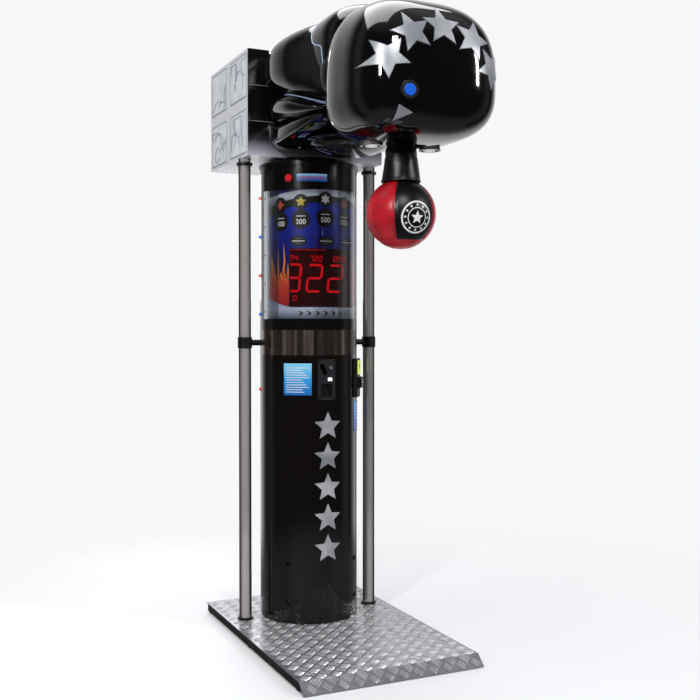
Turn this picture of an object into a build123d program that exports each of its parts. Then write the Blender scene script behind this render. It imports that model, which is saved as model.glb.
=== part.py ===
from build123d import *
import math
import os

os.makedirs("parts", exist_ok=True)

# A boxing punch machine. Millimetres, +Z up, the floor at Z 0, and the player stands on the -Y side.
# Forward sizes named "reach" are measured from the column's axis towards the player.

# ---- Driving sizes ----
base_width = 700
base_height = 40
base_front_reach = 759
base_back_reach = 302
nosing_run = 41
column_diameter = 400
lower_shell_height = 1070
mirror_height = 100
black_band_height = 44
display_height = 512
header_height = 94
rim_height = 36
tube_diameter = 50
tube_spacing = 554
head_box_width = 586
head_box_height = 417
head_box_front_reach = 91
head_box_back_reach = 395
fist_width = 514
fist_depth = 475
fist_height = 454
fist_crown_rise = 58
fist_front_reach = 1115
fist_drop = 67
ball_diameter = 238
arm_length = 330
arm_reach = 818
pivot_above_fist_bottom = 106

# ---- Walls and clearances ----
seat_gap = 0.2
body_gap = 0.3
button_gap = 0.3
shaft_running_gap = 0.03
plate_thickness = 3
skin = 3
tube_wall = 2
box_wall = 2
glove_wall = 5
leather_thickness = 4
bolt_gap = 0.5

# ---- Button sizes ----
start_cap_radius = 18.5
start_bezel_radius = 29.5
select_cap_radius = 14
select_bezel_radius = 19
reject_cap_radius = 7
button_wall = 2.3
start_travel = 4
select_travel = 4
reject_travel = 3

# ---- Heights and places worked out from the driving sizes ----
mirror_base = base_height + lower_shell_height
black_band_base = mirror_base + mirror_height
display_base = black_band_base + black_band_height
header_base = display_base + display_height
rim_base = header_base + header_height
column_top = rim_base + rim_height
head_top = column_top + head_box_height
fist_bottom = column_top - fist_drop
fist_top = fist_bottom + fist_height
pivot_height = fist_bottom + pivot_above_fist_bottom
ball_height = pivot_height - arm_length
rear_cover_thickness = 2
cap_proud = 7
bezel_proud = 5
bezel_chamfer = 2.5
emblem_thickness = 2
fist_corner = 178
start_x = -123
start_corner_x = -(fist_width / 2 - fist_corner)
start_angle = -math.degrees(math.asin((start_corner_x - start_x) / fist_corner))
bezel_lean = math.radians(-start_angle)
bezel_depth = (fist_corner + bezel_proud) * math.cos(bezel_lean)
bezel_edge = (start_bezel_radius - bezel_chamfer) * math.sin(bezel_lean)
bezel_reach = bezel_depth + bezel_edge - fist_corner
front_most_reach = fist_front_reach + max(emblem_thickness, bezel_reach)
rear_most_reach = head_box_back_reach + rear_cover_thickness
column_y = (front_most_reach - rear_most_reach) / 2
column_radius = column_diameter / 2
shell_inner_radius = column_radius - skin


def at_reach(reach):
    """The Y of a place that lies this far in front of the column's axis."""
    return column_y - reach


def face_on(centre_x, centre_y, radius, angle, height):
    """The plane tangent to an upright cylinder, facing outwards, at this angle from the front."""
    turn = math.radians(angle)
    place = (centre_x + radius * math.sin(turn), centre_y - radius * math.cos(turn), height)
    outward = (math.sin(turn), -math.cos(turn), 0)
    return Plane(origin=place, x_dir=(math.cos(turn), math.sin(turn), 0), z_dir=outward)


def column_face(angle, height, radius=column_radius):
    """The plane tangent to the column at this angle and height."""
    return face_on(0, column_y, radius, angle, height)


def curved_sheet(inner_radius, outer_radius, first_angle, last_angle, bottom, top):
    """A sheet that follows the column between two angles and two heights."""
    floor_plane = Plane((0, column_y, bottom))
    with BuildPart() as sheet:
        with BuildSketch(floor_plane):
            with BuildLine():
                outer = CenterArc((0, 0), outer_radius, first_angle - 90, last_angle - first_angle)
                inner = CenterArc((0, 0), inner_radius, first_angle - 90, last_angle - first_angle)
                Line(outer @ 0, inner @ 0)
                Line(outer @ 1, inner @ 1)
            make_face()
        extrude(amount=top - bottom)
    return sheet.part


def ring(inner_radius, outer_radius, bottom, top, centre=(0, 0)):
    """An upright ring, or a disc where the inner radius is 0."""
    with BuildPart() as body:
        with BuildSketch(Plane.XY.offset(bottom)):
            with Locations(centre):
                Circle(outer_radius)
                if inner_radius > 0:
                    Circle(inner_radius, mode=Mode.SUBTRACT)
        extrude(amount=top - bottom)
    return body.part


def block(x_low, x_high, y_low, y_high, bottom, top):
    """A plain block between these coordinates."""
    with BuildPart() as body:
        with BuildSketch(Plane.XY.offset(bottom)):
            with Locations(((x_low + x_high) / 2, (y_low + y_high) / 2)):
                Rectangle(x_high - x_low, y_high - y_low)
        extrude(amount=top - bottom)
    return body.part


def outward_block(plane, width, height, start, stop):
    """A block that stands out of a plane from one distance to another."""
    with BuildPart() as body:
        with BuildSketch(plane.offset(start)):
            Rectangle(width, height)
        extrude(amount=stop - start)
    return body.part


def outward_rod(plane, radius, start, stop):
    """A round rod that stands out of a plane from one distance to another."""
    with BuildPart() as body:
        with BuildSketch(plane.offset(start)):
            Circle(radius)
        extrude(amount=stop - start)
    return body.part


def cross_rod(radius, x_low, x_high, y, z):
    """A round rod along X."""
    with BuildPart() as body:
        with BuildSketch(Plane((x_low, y, z), x_dir=(0, 1, 0), z_dir=(1, 0, 0))):
            Circle(radius)
        extrude(amount=x_high - x_low)
    return body.part


def fist_solid(grow):
    """The fist's outside grown by a distance: upright round corners and a crown that rises toward the back."""
    width = fist_width + 2 * grow
    y_front = fist_front_y - grow
    y_back = fist_back_y + grow
    bottom = fist_bottom - grow
    slope = fist_crown_rise / fist_depth
    top_front = fist_top + grow * math.hypot(1, slope) - grow * slope
    top_back = top_front + (y_back - y_front) * slope
    with BuildPart() as body:
        with BuildSketch(Plane.XY.offset(bottom)):
            with Locations((0, (y_front + y_back) / 2)):
                RectangleRounded(width, y_back - y_front, fist_corner + grow)
        extrude(amount=top_back - bottom)
        with BuildSketch(Plane((0, 0, 0), x_dir=(0, 1, 0), z_dir=(1, 0, 0))):
            with BuildLine():
                Polyline((y_front, top_front), (y_back, top_back), (y_front, top_back), close=True)
            make_face()
        extrude(amount=width, both=True, mode=Mode.SUBTRACT)
        fillet(body.faces().sort_by(Axis.Z)[-1].edges(), fist_top_round + grow)
        fillet(body.faces().sort_by(Axis.Z)[0].edges(), fist_bottom_round + grow)
    return body.part


def star_points(outer_radius, inner_radius):
    """The corners of a five-pointed star that stands on two points."""
    corners = []
    for step in range(10):
        reach = outer_radius if step % 2 == 0 else inner_radius
        turn = math.radians(90 + 36 * step)
        corners.append((reach * math.cos(turn), reach * math.sin(turn)))
    return corners


# ================= BASE =================
plate_y_front = at_reach(base_front_reach)
plate_y_back = at_reach(-base_back_reach)
plate_depth = plate_y_back - plate_y_front
plate_y = (plate_y_front + plate_y_back) / 2
foot_height = 5
frame_set_in = 5
frame_bar = 8
frame_top = base_height - plate_thickness
frame_width = base_width - 2 * frame_set_in
frame_depth = plate_depth - 2 * frame_set_in
bays_across = 3
bays_deep = 5
bay_width = (frame_width - frame_bar * (bays_across + 1)) / bays_across
bay_depth = (frame_depth - frame_bar * (bays_deep + 1)) / bays_deep
pad_thickness = 8
anchor_circle_radius = 172
anchor_angles = [45, 135, 225, 315]
anchor_radius = 5
tube_x = tube_spacing / 2
tube_radius = tube_diameter / 2
foot_inset = 34
foot_edge_inset = 30
foot_radius = 25
stud_radius = 6
stud_top = 30
boss_size = 40
foot_rows = [plate_y_front + foot_inset, plate_y, plate_y_back - foot_inset]
foot_places = []
for side in (-1, 1):
    for row_y in foot_rows:
        foot_places.append((side * (base_width / 2 - foot_edge_inset), row_y))
anchor_places = []
for angle in anchor_angles:
    turn = math.radians(angle)
    anchor_x = anchor_circle_radius * math.cos(turn)
    anchor_places.append((anchor_x, column_y + anchor_circle_radius * math.sin(turn)))

with BuildPart() as base_frame:
    with BuildSketch(Plane.XY.offset(foot_height)):
        with Locations((0, plate_y)):
            Rectangle(frame_width, frame_depth)
            with GridLocations(bay_width + frame_bar, bay_depth + frame_bar, bays_across, bays_deep):
                Rectangle(bay_width, bay_depth, mode=Mode.SUBTRACT)
        with Locations(*foot_places):
            Rectangle(boss_size, boss_size)
    extrude(amount=frame_top - foot_height)
    # The flat ring that the column's foot is bolted to, and the strip that the tubes stand on.
    with BuildSketch(Plane.XY.offset(frame_top - pad_thickness)):
        with Locations((0, column_y)):
            Circle(column_radius)
            Rectangle(frame_width - frame_bar, 2 * tube_radius + 20)
            Circle(anchor_circle_radius - 25, mode=Mode.SUBTRACT)
    extrude(amount=pad_thickness)
    with BuildSketch(Plane.XY.offset(frame_top - pad_thickness)):
        with Locations(*anchor_places):
            Circle(anchor_radius + bolt_gap)
    extrude(amount=pad_thickness, mode=Mode.SUBTRACT)
    with BuildSketch(Plane.XY.offset(foot_height)):
        with Locations(*foot_places):
            Circle(stud_radius + seat_gap)
    extrude(amount=stud_top - foot_height, mode=Mode.SUBTRACT)
base_frame.part.label = "base_frame"
export_step(base_frame.part, "parts/base_frame.step")

# One bent sheet: the flat deck and the sloping front nosing.
nosing_bottom = 2
nosing_drop = base_height - nosing_bottom
nosing_slope = math.atan2(nosing_drop, nosing_run)
bend_shift = plate_thickness * math.tan(nosing_slope / 2)
nosing_foot = (nosing_drop - plate_thickness) / math.tan(nosing_slope)
bend_radius = 10
with BuildPart() as tread_plate:
    with BuildSketch(Plane.YZ.offset(-base_width / 2)) as nosing_profile:
        with BuildLine():
            Polyline(
                (plate_y_back, frame_top),
                (plate_y_back, base_height),
                (plate_y_front, base_height),
                (plate_y_front - nosing_run, nosing_bottom),
                (plate_y_front + bend_shift - nosing_foot, nosing_bottom),
                (plate_y_front + bend_shift, frame_top),
                close=True,
            )
        make_face()
        outer_bend = nosing_profile.vertices().sort_by_distance((plate_y_front, base_height))[0]
        fillet(outer_bend, bend_radius)
        inner_bend = nosing_profile.vertices().sort_by_distance((plate_y_front + bend_shift, frame_top))[0]
        fillet(inner_bend, bend_radius - plate_thickness)
    extrude(amount=base_width)
    with BuildSketch(Plane.XY.offset(frame_top)):
        with Locations(*anchor_places):
            Circle(anchor_radius + bolt_gap)
    extrude(amount=plate_thickness, mode=Mode.SUBTRACT)
tread_plate.part.label = "tread_plate"
export_step(tread_plate.part, "parts/tread_plate.step")

with BuildPart() as levelling_feet:
    with BuildSketch(Plane.XY):
        with Locations(*foot_places):
            Circle(foot_radius)
    extrude(amount=foot_height)
    with BuildSketch(Plane.XY.offset(foot_height)):
        with Locations(*foot_places):
            Circle(stud_radius)
    extrude(amount=stud_top - foot_height)
levelling_feet.part.label = "levelling_feet"
export_step(levelling_feet.part, "parts/levelling_feet.step")

# ================= COLUMN STRUCTURE =================
foot_sleeve_height = 270
foot_flange_thickness = 6
foot_sleeve_outer = shell_inner_radius - seat_gap
shelf_thickness = 3
shelf_hole_radius = 30
shelf_top = base_height + foot_sleeve_height
with BuildPart() as column_foot:
    with BuildSketch(Plane((0, column_y, base_height))):
        Circle(foot_sleeve_outer)
        Circle(anchor_circle_radius - 25, mode=Mode.SUBTRACT)
    extrude(amount=foot_flange_thickness)
    with BuildSketch(Plane((0, column_y, base_height))):
        Circle(foot_sleeve_outer)
        Circle(foot_sleeve_outer - skin, mode=Mode.SUBTRACT)
    extrude(amount=foot_sleeve_height)
    # The shelf that carries the cash box and the power supply.
    with BuildSketch(Plane((0, column_y, shelf_top - shelf_thickness))):
        Circle(foot_sleeve_outer)
        Circle(shelf_hole_radius, mode=Mode.SUBTRACT)
    extrude(amount=shelf_thickness)
    with BuildSketch(Plane.XY.offset(base_height)):
        with Locations(*anchor_places):
            Circle(anchor_radius + bolt_gap)
    extrude(amount=foot_flange_thickness, mode=Mode.SUBTRACT)
    trim_angles = [-46.5, 46.5]
    trim_heights = [base_height + 84, base_height + 238]
    trim_shank_radius = 5
    for angle in trim_angles:
        for height in trim_heights:
            with BuildSketch(column_face(angle, height).offset(-20)):
                Circle(trim_shank_radius + seat_gap)
            extrude(amount=30, mode=Mode.SUBTRACT)
column_foot.part.label = "column_foot"
export_step(column_foot.part, "parts/column_foot.step")

anchor_head_height = 6
anchor_head_radius = 9
trim_head_radius = 10
trim_head_height = 5
trim_shank_length = 18


def domed_bolt(plane):
    """A domed bolt head with its shank through the column's wall."""
    with BuildPart() as bolt:
        add(outward_rod(plane, trim_head_radius, 0, trim_head_height))
        outer_face = bolt.faces().sort_by_distance(plane.offset(trim_head_height + 1).origin)[0]
        fillet(outer_face.edges(), trim_head_height * 0.8)
        add(outward_rod(plane, trim_shank_radius, -trim_shank_length, 0))
    return bolt.part


# Features that are set into the lower shell.
coin_angle = -2
coin_height = 1013
coin_width = 72
coin_tall = 160
coin_proud = 6
coin_back = 9
bill_angle = 57
bill_height = 1014
bill_width = 84
bill_tall = 158
bill_proud = 10
bill_back = 12
door_angle = 180
door_half_angle = 34
door_bottom = 420
door_top = 1000
inlet_angle = 180
inlet_height = base_height + foot_sleeve_height + 45
inlet_width = 48
inlet_tall = 28

lamp_angle = 99
lamp_count = 4
lamp_end_inset = 20
lamp_pitch = (display_height - 2 * lamp_end_inset) / (lamp_count - 1)
lamp_radius = 6
lamp_dome = 9
lamp_heights = [display_base + lamp_end_inset + lamp_pitch * step for step in range(lamp_count)]
lower_lamp_height = display_base - 286
with BuildPart() as column_shell:
    with BuildSketch(Plane((0, column_y, base_height))):
        Circle(column_radius)
        Circle(shell_inner_radius, mode=Mode.SUBTRACT)
    extrude(amount=lower_shell_height)
    for angle in trim_angles:
        for height in trim_heights:
            with BuildSketch(column_face(angle, height).offset(-20)):
                Circle(trim_shank_radius + seat_gap)
            extrude(amount=30, mode=Mode.SUBTRACT)
    for side in (-1, 1):
        with BuildSketch(column_face(side * lamp_angle, lower_lamp_height).offset(-30)):
            Circle(lamp_radius + seat_gap)
        extrude(amount=35, mode=Mode.SUBTRACT)
    with BuildSketch(column_face(coin_angle, coin_height).offset(-60)):
        Rectangle(coin_width + 2 * body_gap, coin_tall + 2 * body_gap)
    extrude(amount=80, mode=Mode.SUBTRACT)
    with BuildSketch(column_face(bill_angle, bill_height).offset(-60)):
        Rectangle(bill_width + 2 * body_gap, bill_tall + 2 * body_gap)
    extrude(amount=80, mode=Mode.SUBTRACT)
    with BuildSketch(column_face(inlet_angle, inlet_height).offset(-60)):
        Rectangle(inlet_width + 2 * body_gap, inlet_tall + 2 * body_gap)
    extrude(amount=80, mode=Mode.SUBTRACT)
    add(
        curved_sheet(
            shell_inner_radius - 5,
            column_radius + 5,
            door_angle - door_half_angle,
            door_angle + door_half_angle,
            door_bottom,
            door_top,
        ),
        mode=Mode.SUBTRACT,
    )
column_shell.part.label = "column_shell"
export_step(column_shell.part, "parts/column_shell.step")

# The inner tube that carries the display section, the header and the head.
core_outer = shell_inner_radius - seat_gap - 1
core_wall = 3
core_overlap = 14
core_base = mirror_base - core_overlap
window_half_angle = 45
window_bottom = display_base + 50
window_top = display_base + 278
select_angle = -45
select_height = header_base + 43
button_barrel_radius = select_cap_radius + button_gap + button_wall
with BuildPart() as column_core:
    with BuildSketch(Plane((0, column_y, core_base))):
        Circle(core_outer)
        Circle(core_outer - core_wall, mode=Mode.SUBTRACT)
    extrude(amount=rim_base - core_base)
    add(
        curved_sheet(
            core_outer - 10,
            core_outer + 5,
            -window_half_angle + 1,
            window_half_angle - 1,
            window_bottom + 3,
            window_top - 3,
        ),
        mode=Mode.SUBTRACT,
    )
    with BuildSketch(column_face(select_angle, select_height).offset(-40)):
        Circle(button_barrel_radius + body_gap)
    extrude(amount=50, mode=Mode.SUBTRACT)
column_core.part.label = "column_core"
export_step(column_core.part, "parts/column_core.step")


def lipped_band(bottom, top):
    """A rolled band with a lip at each end that sits on the inner tube."""
    with BuildPart() as band:
        with BuildSketch(Plane((0, column_y, bottom))):
            Circle(column_radius)
            Circle(shell_inner_radius, mode=Mode.SUBTRACT)
        extrude(amount=top - bottom)
        for lip_base in (bottom, top - skin):
            with BuildSketch(Plane((0, column_y, lip_base))):
                Circle(column_radius)
                Circle(core_outer + seat_gap, mode=Mode.SUBTRACT)
            extrude(amount=skin)
    return band.part


with BuildPart() as mirror_band:
    add(lipped_band(mirror_base, black_band_base))
mirror_band.part.label = "mirror_band"
export_step(mirror_band.part, "parts/mirror_band.step")

# The narrow band under the display and the header above it.
with BuildPart() as black_bands:
    add(lipped_band(black_band_base, display_base))
    add(lipped_band(header_base, rim_base))
    with BuildSketch(column_face(select_angle, select_height).offset(-40)):
        Circle(button_barrel_radius + body_gap)
    extrude(amount=50, mode=Mode.SUBTRACT)
black_bands.part.label = "black_bands"
export_step(black_bands.part, "parts/black_bands.step")

rim_step = 4
rim_plate = 8
rim_lip = 20
collar_radius = 165
cable_hole_radius = 60
with BuildPart() as column_cap:
    with BuildSketch(Plane((0, column_y, rim_base))):
        Circle(column_radius + rim_step)
        Circle(core_outer - core_wall, mode=Mode.SUBTRACT)
    extrude(amount=rim_lip)
    with BuildSketch(Plane((0, column_y, rim_base + rim_lip - rim_plate))):
        Circle(column_radius + rim_step)
        Circle(cable_hole_radius, mode=Mode.SUBTRACT)
    extrude(amount=rim_plate)
    with BuildSketch(Plane((0, column_y, rim_base + rim_lip))):
        Circle(collar_radius)
        Circle(cable_hole_radius, mode=Mode.SUBTRACT)
    extrude(amount=rim_height - rim_lip)
    fillet(column_cap.edges().filter_by(GeomType.CIRCLE).group_by(SortBy.RADIUS)[-1], 1.5)
column_cap.part.label = "column_cap"
export_step(column_cap.part, "parts/column_cap.step")

# ================= DISPLAY SECTION =================
cover_half_angle = 78
artwork_outer = shell_inner_radius - seat_gap
artwork_inner = core_outer + seat_gap / 2
window_inner = artwork_inner
with BuildPart() as artwork_panel:
    add(
        curved_sheet(
            artwork_inner,
            artwork_outer,
            -cover_half_angle,
            cover_half_angle,
            display_base,
            header_base,
        )
    )
    add(
        curved_sheet(
            artwork_inner - 1,
            artwork_outer + 1,
            -window_half_angle,
            window_half_angle,
            window_bottom,
            window_top,
        ),
        mode=Mode.SUBTRACT,
    )
artwork_panel.part.label = "artwork_panel"
export_step(artwork_panel.part, "parts/artwork_panel.step")

window_edge = 0.1
with BuildPart() as display_window:
    add(
        curved_sheet(
            window_inner,
            artwork_outer,
            -window_half_angle + window_edge,
            window_half_angle - window_edge,
            window_bottom + seat_gap,
            window_top - seat_gap,
        )
    )
display_window.part.label = "display_window"
export_step(display_window.part, "parts/display_window.step")

with BuildPart() as display_cover:
    add(
        curved_sheet(
            shell_inner_radius,
            column_radius,
            -cover_half_angle,
            cover_half_angle,
            display_base,
            header_base,
        )
    )
display_cover.part.label = "display_cover"
export_step(display_cover.part, "parts/display_cover.step")

# Side strips that clamp the cover's long edges, and the rear half of the section.
strip_angle = 8
with BuildPart() as cover_strips:
    for side in (-1, 1):
        strip_angles = sorted((side * (cover_half_angle + 0.1), side * (cover_half_angle + strip_angle)))
        add(
            curved_sheet(
                core_outer + seat_gap,
                column_radius + 1,
                strip_angles[0],
                strip_angles[1],
                display_base,
                header_base,
            )
        )
cover_strips.part.label = "cover_strips"
export_step(cover_strips.part, "parts/cover_strips.step")

back_skin_angle = cover_half_angle + strip_angle + 0.1
with BuildPart() as display_back_skin:
    add(
        curved_sheet(
            core_outer + seat_gap,
            column_radius,
            back_skin_angle,
            360 - back_skin_angle,
            display_base,
            header_base,
        )
    )
    for side in (-1, 1):
        for height in lamp_heights:
            with BuildSketch(column_face(side * lamp_angle, height).offset(-30)):
                Circle(lamp_radius + seat_gap)
            extrude(amount=35, mode=Mode.SUBTRACT)
display_back_skin.part.label = "display_back_skin"
export_step(display_back_skin.part, "parts/display_back_skin.step")

# Round lamps with rounded noses up both sides, red and blue in turn.
with BuildPart() as side_lamps:
    for side in (-1, 1):
        for height in [lower_lamp_height] + lamp_heights:
            lamp_plane = column_face(side * lamp_angle, height)
            add(outward_rod(lamp_plane, lamp_radius, -skin, lamp_dome - lamp_radius))
            nose = Sphere(lamp_radius, mode=Mode.PRIVATE)
            add(nose.moved(lamp_plane.offset(lamp_dome - lamp_radius).location))
            add(outward_rod(lamp_plane, lamp_radius + 2, 0.2, 1.6))
side_lamps.part.label = "side_lamps"
export_step(side_lamps.part, "parts/side_lamps.step")

# A flat board behind the window, carried by two brackets on the inner tube.
digit_face_reach = 78
digit_thickness = 10
board_thickness = 2
board_width = 300
board_y = at_reach(digit_face_reach - digit_thickness)
board_margin = 6
board_stand_y = at_reach(-100)
chip_size = 36
chip_thickness = 6
with BuildPart() as circuit_boards:
    add(
        block(
            -board_width / 2,
            board_width / 2,
            board_y,
            board_y + board_thickness,
            window_bottom + board_margin,
            window_top - board_margin,
        )
    )
    # The game's control board stands on edge behind the display, with its chips on its front.
    add(block(-110, 110, board_stand_y, board_stand_y + board_thickness, window_bottom - 20, window_top - 40))
    for chip_x, chip_z in ((-60, 60), (10, 110), (60, 50)):
        add(
            block(
                chip_x - chip_size / 2,
                chip_x + chip_size / 2,
                board_stand_y - chip_thickness,
                board_stand_y,
                window_bottom + chip_z - chip_size / 2,
                window_bottom + chip_z + chip_size / 2,
            )
        )
circuit_boards.part.label = "circuit_boards"
export_step(circuit_boards.part, "parts/circuit_boards.step")

digit_pitch = 93
digit_width = 84
digit_tall = 118
digit_height = window_bottom + 116
small_digit_pitch = 106
small_digit_width = 64
small_digit_tall = 30
small_digit_height = window_top - 32
count_digit_x = -92
count_digit_height = window_bottom + 34
count_digit_width = 24
with BuildPart() as digit_modules:
    digit_plane = Plane((0, board_y, 0), x_dir=(1, 0, 0), z_dir=(0, -1, 0))
    with BuildSketch(digit_plane):
        with Locations((0, digit_height)):
            with GridLocations(digit_pitch, 1, 3, 1):
                Rectangle(digit_width, digit_tall)
        with Locations((0, small_digit_height)):
            with GridLocations(small_digit_pitch, 1, 3, 1):
                Rectangle(small_digit_width, small_digit_tall)
        with Locations((count_digit_x, count_digit_height)):
            Rectangle(count_digit_width, small_digit_tall)
    extrude(amount=digit_thickness)
digit_modules.part.label = "digit_modules"
export_step(digit_modules.part, "parts/digit_modules.step")

bracket_width = 20
bracket_thickness = 3
with BuildPart() as board_carriers:
    for side in (-1, 1):
        inner_edge = side * (board_width / 2 - bracket_width)
        outer_edge = side * column_radius
        low_x = min(inner_edge, outer_edge)
        high_x = max(inner_edge, outer_edge)
        back_y = board_y + board_thickness
        add(
            block(
                low_x,
                high_x,
                back_y,
                back_y + bracket_thickness,
                window_bottom + board_margin,
                window_top - board_margin,
            )
        )
    tray_y = board_stand_y + board_thickness
    add(block(-column_radius, column_radius, tray_y, tray_y + 3, window_bottom - 20, window_top - 40))
    outside = ring(core_outer - core_wall, column_radius * 2, window_bottom - 40, window_top, (0, column_y))
    add(outside, mode=Mode.SUBTRACT)
board_carriers.part.label = "board_carriers"
export_step(board_carriers.part, "parts/board_carriers.step")

# ================= PUSH BUTTONS =================
barrel_depth = 30
cap_depth = 8


def button_bezel(plane, cap_radius, bezel_radius, travel):
    """The fixed ring and barrel of a push button."""
    bore = cap_radius + button_gap
    with BuildPart() as bezel:
        add(outward_rod(plane, bezel_radius, 0, bezel_proud))
        add(outward_rod(plane, bore + button_wall, -barrel_depth, 0))
        front_rim = bezel.faces().sort_by_distance(plane.offset(bezel_proud + 1).origin)[0].edges()
        chamfer(front_rim, bezel_chamfer)
        add(outward_rod(plane, bore, -cap_depth - travel - 1, bezel_proud), mode=Mode.SUBTRACT)
        add(outward_rod(plane, bore * 0.5, -barrel_depth, bezel_proud), mode=Mode.SUBTRACT)
    return bezel.part


def button_cap(plane, cap_radius, proud, travel):
    """The moving cap, with the stem that works the switch behind it."""
    stem_radius = cap_radius * 0.5
    with BuildPart() as cap:
        add(outward_rod(plane, cap_radius, -cap_depth, proud))
        front_rim = cap.faces().sort_by_distance(plane.offset(proud + 1).origin)[0].edges()
        fillet(front_rim, 1.6)
        add(outward_rod(plane, stem_radius, -barrel_depth + travel + 1, -cap_depth))
    return cap.part


def button_switch(plane):
    """The switch block behind a button's barrel."""
    return outward_block(plane, 18, 24, -barrel_depth - 34, -barrel_depth)


select_plane = column_face(select_angle, select_height)
with BuildPart() as select_button:
    add(button_cap(select_plane, select_cap_radius, cap_proud, select_travel))
select_button.part.label = "select_button"
export_step(select_button.part, "parts/select_button.step")

# ================= COIN AND BILL UNITS =================
coin_plane = column_face(coin_angle, coin_height)
slot_width = 4.5
slot_length = 32
slot_x = -14
slot_y = 42
slot_tilt = 115
reject_x = 17
reject_y = 48
coin_window_x = 14
coin_window_y = 2
coin_window_size = 20
return_width = 40
return_tall = 44
return_y = -42
flap_thickness = 2
flap_pin_radius = 2
flap_set_in = 3
reject_bore = reject_cap_radius + button_gap
with BuildPart() as coin_plate:
    add(outward_block(coin_plane, coin_width, coin_tall, -coin_back, coin_proud))
    front_rim = coin_plate.faces().sort_by_distance(coin_plane.offset(coin_proud + 1).origin)[0].edges()
    chamfer(front_rim, 1.5)
    with BuildSketch(coin_plane.offset(-coin_back)):
        with Locations(Location((slot_x, slot_y), slot_tilt)):
            SlotOverall(slot_length, slot_width, rotation=0)
        with Locations((reject_x, reject_y)):
            Circle(reject_bore)
        with Locations((coin_window_x, coin_window_y)):
            Rectangle(coin_window_size, coin_window_size)
        with Locations((0, return_y)):
            Rectangle(return_width, return_tall)
    extrude(amount=coin_back + coin_proud, mode=Mode.SUBTRACT)
coin_plate.part.label = "coin_plate"
export_step(coin_plate.part, "parts/coin_plate.step")

with BuildPart() as reject_button:
    with BuildSketch(coin_plane.offset(-coin_back)):
        with Locations((reject_x, reject_y)):
            Circle(reject_cap_radius)
    extrude(amount=coin_back + coin_proud + 5)
reject_button.part.label = "reject_button"
export_step(reject_button.part, "parts/reject_button.step")

# The mechanism behind the plate starts past the reject button's travel.
mech_front = -coin_back - reject_travel - 1
mech_depth = 85
chute_depth = 45
# The return flap hangs from its top edge and swings into the cup.
flap_edge_gap = 0.5
flap_plane = coin_plane.offset(-flap_set_in)
flap_top = return_y + return_tall / 2 - flap_edge_gap
flap_bottom = return_y - return_tall / 2 + flap_edge_gap
flap_pin_y = flap_top - flap_pin_radius
with BuildPart() as return_flap:
    with BuildSketch(flap_plane):
        with Locations((0, (flap_pin_y + flap_bottom) / 2)):
            Rectangle(return_width - 2 * flap_edge_gap, flap_pin_y - flap_bottom)
    extrude(amount=flap_thickness)
    pin_centre = flap_plane.offset(flap_thickness / 2).from_local_coords((0, flap_pin_y, 0))
    pin_axis = coin_plane.x_dir
    pin_plane = Plane(origin=pin_centre, x_dir=coin_plane.z_dir, z_dir=pin_axis)
    with BuildSketch(pin_plane):
        Circle(flap_pin_radius)
    extrude(amount=return_width / 2 - flap_edge_gap, both=True)
return_flap.part.label = "return_flap"
export_step(return_flap.part, "parts/return_flap.step")

bill_plane = column_face(bill_angle, bill_height)
bill_slot_width = 70
bill_slot_tall = 6
bill_slot_y = -20
bill_nose = 16
bill_light_y = 42
bill_light_tall = 58
with BuildPart() as bill_acceptor:
    add(outward_block(bill_plane, bill_width, bill_tall, -bill_back, bill_proud))
    with BuildSketch(bill_plane.offset(bill_proud)):
        with Locations((0, bill_slot_y)):
            Rectangle(bill_width - 8, 50)
    extrude(amount=bill_nose, taper=18)
    with BuildSketch(bill_plane.offset(-bill_back)):
        with Locations((0, bill_slot_y)):
            Rectangle(bill_slot_width, bill_slot_tall)
    extrude(amount=bill_back + bill_proud + bill_nose, mode=Mode.SUBTRACT)
bill_acceptor.part.label = "bill_acceptor"
export_step(bill_acceptor.part, "parts/bill_acceptor.step")

# The bill stacker and the coin mechanism stand behind their front plates.
stacker_depth = 90
with BuildPart() as payment_units:
    add(outward_block(bill_plane, bill_width - 8, bill_tall, -bill_back - stacker_depth, -bill_back))
    with BuildSketch(bill_plane.offset(-bill_back - 60)):
        with Locations((0, bill_slot_y)):
            Rectangle(bill_slot_width, bill_slot_tall)
    extrude(amount=60, mode=Mode.SUBTRACT)
    with BuildSketch(coin_plane.offset(mech_front)):
        Rectangle(coin_width - 6, coin_tall)
    extrude(amount=-mech_depth)
    # The slot leads coins in, and the hopper drops refused coins into the return cup.
    with BuildSketch(coin_plane.offset(mech_front - 70)):
        with Locations(Location((slot_x, slot_y), slot_tilt)):
            SlotOverall(slot_length, slot_width, rotation=0)
    extrude(amount=70, mode=Mode.SUBTRACT)
    with BuildSketch(coin_plane.offset(mech_front - chute_depth)):
        with Locations((0, return_y)):
            Rectangle(return_width, return_tall)
    extrude(amount=chute_depth, mode=Mode.SUBTRACT)
    with BuildSketch(coin_plane.offset(mech_front)):
        with Locations((0, coin_tall / 2 - 2), (0, -coin_tall / 2 + 2)):
            Rectangle(coin_width - 8, 4)
    extrude(amount=-mech_front - coin_back)
payment_units.part.label = "payment_units"
export_step(payment_units.part, "parts/payment_units.step")

# The lit window of the coin unit and the glowing bezel of the bill unit.
with BuildPart() as unit_lights:
    with BuildSketch(coin_plane.offset(-coin_back)):
        with Locations((coin_window_x, coin_window_y)):
            Rectangle(coin_window_size - seat_gap, coin_window_size - seat_gap)
    extrude(amount=coin_back + coin_proud - 0.5)
    with BuildSketch(bill_plane.offset(bill_proud)):
        with Locations((0, bill_light_y)):
            RectangleRounded(bill_width - 14, bill_light_tall, 6)
    extrude(amount=4)
unit_lights.part.label = "unit_lights"
export_step(unit_lights.part, "parts/unit_lights.step")

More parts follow.
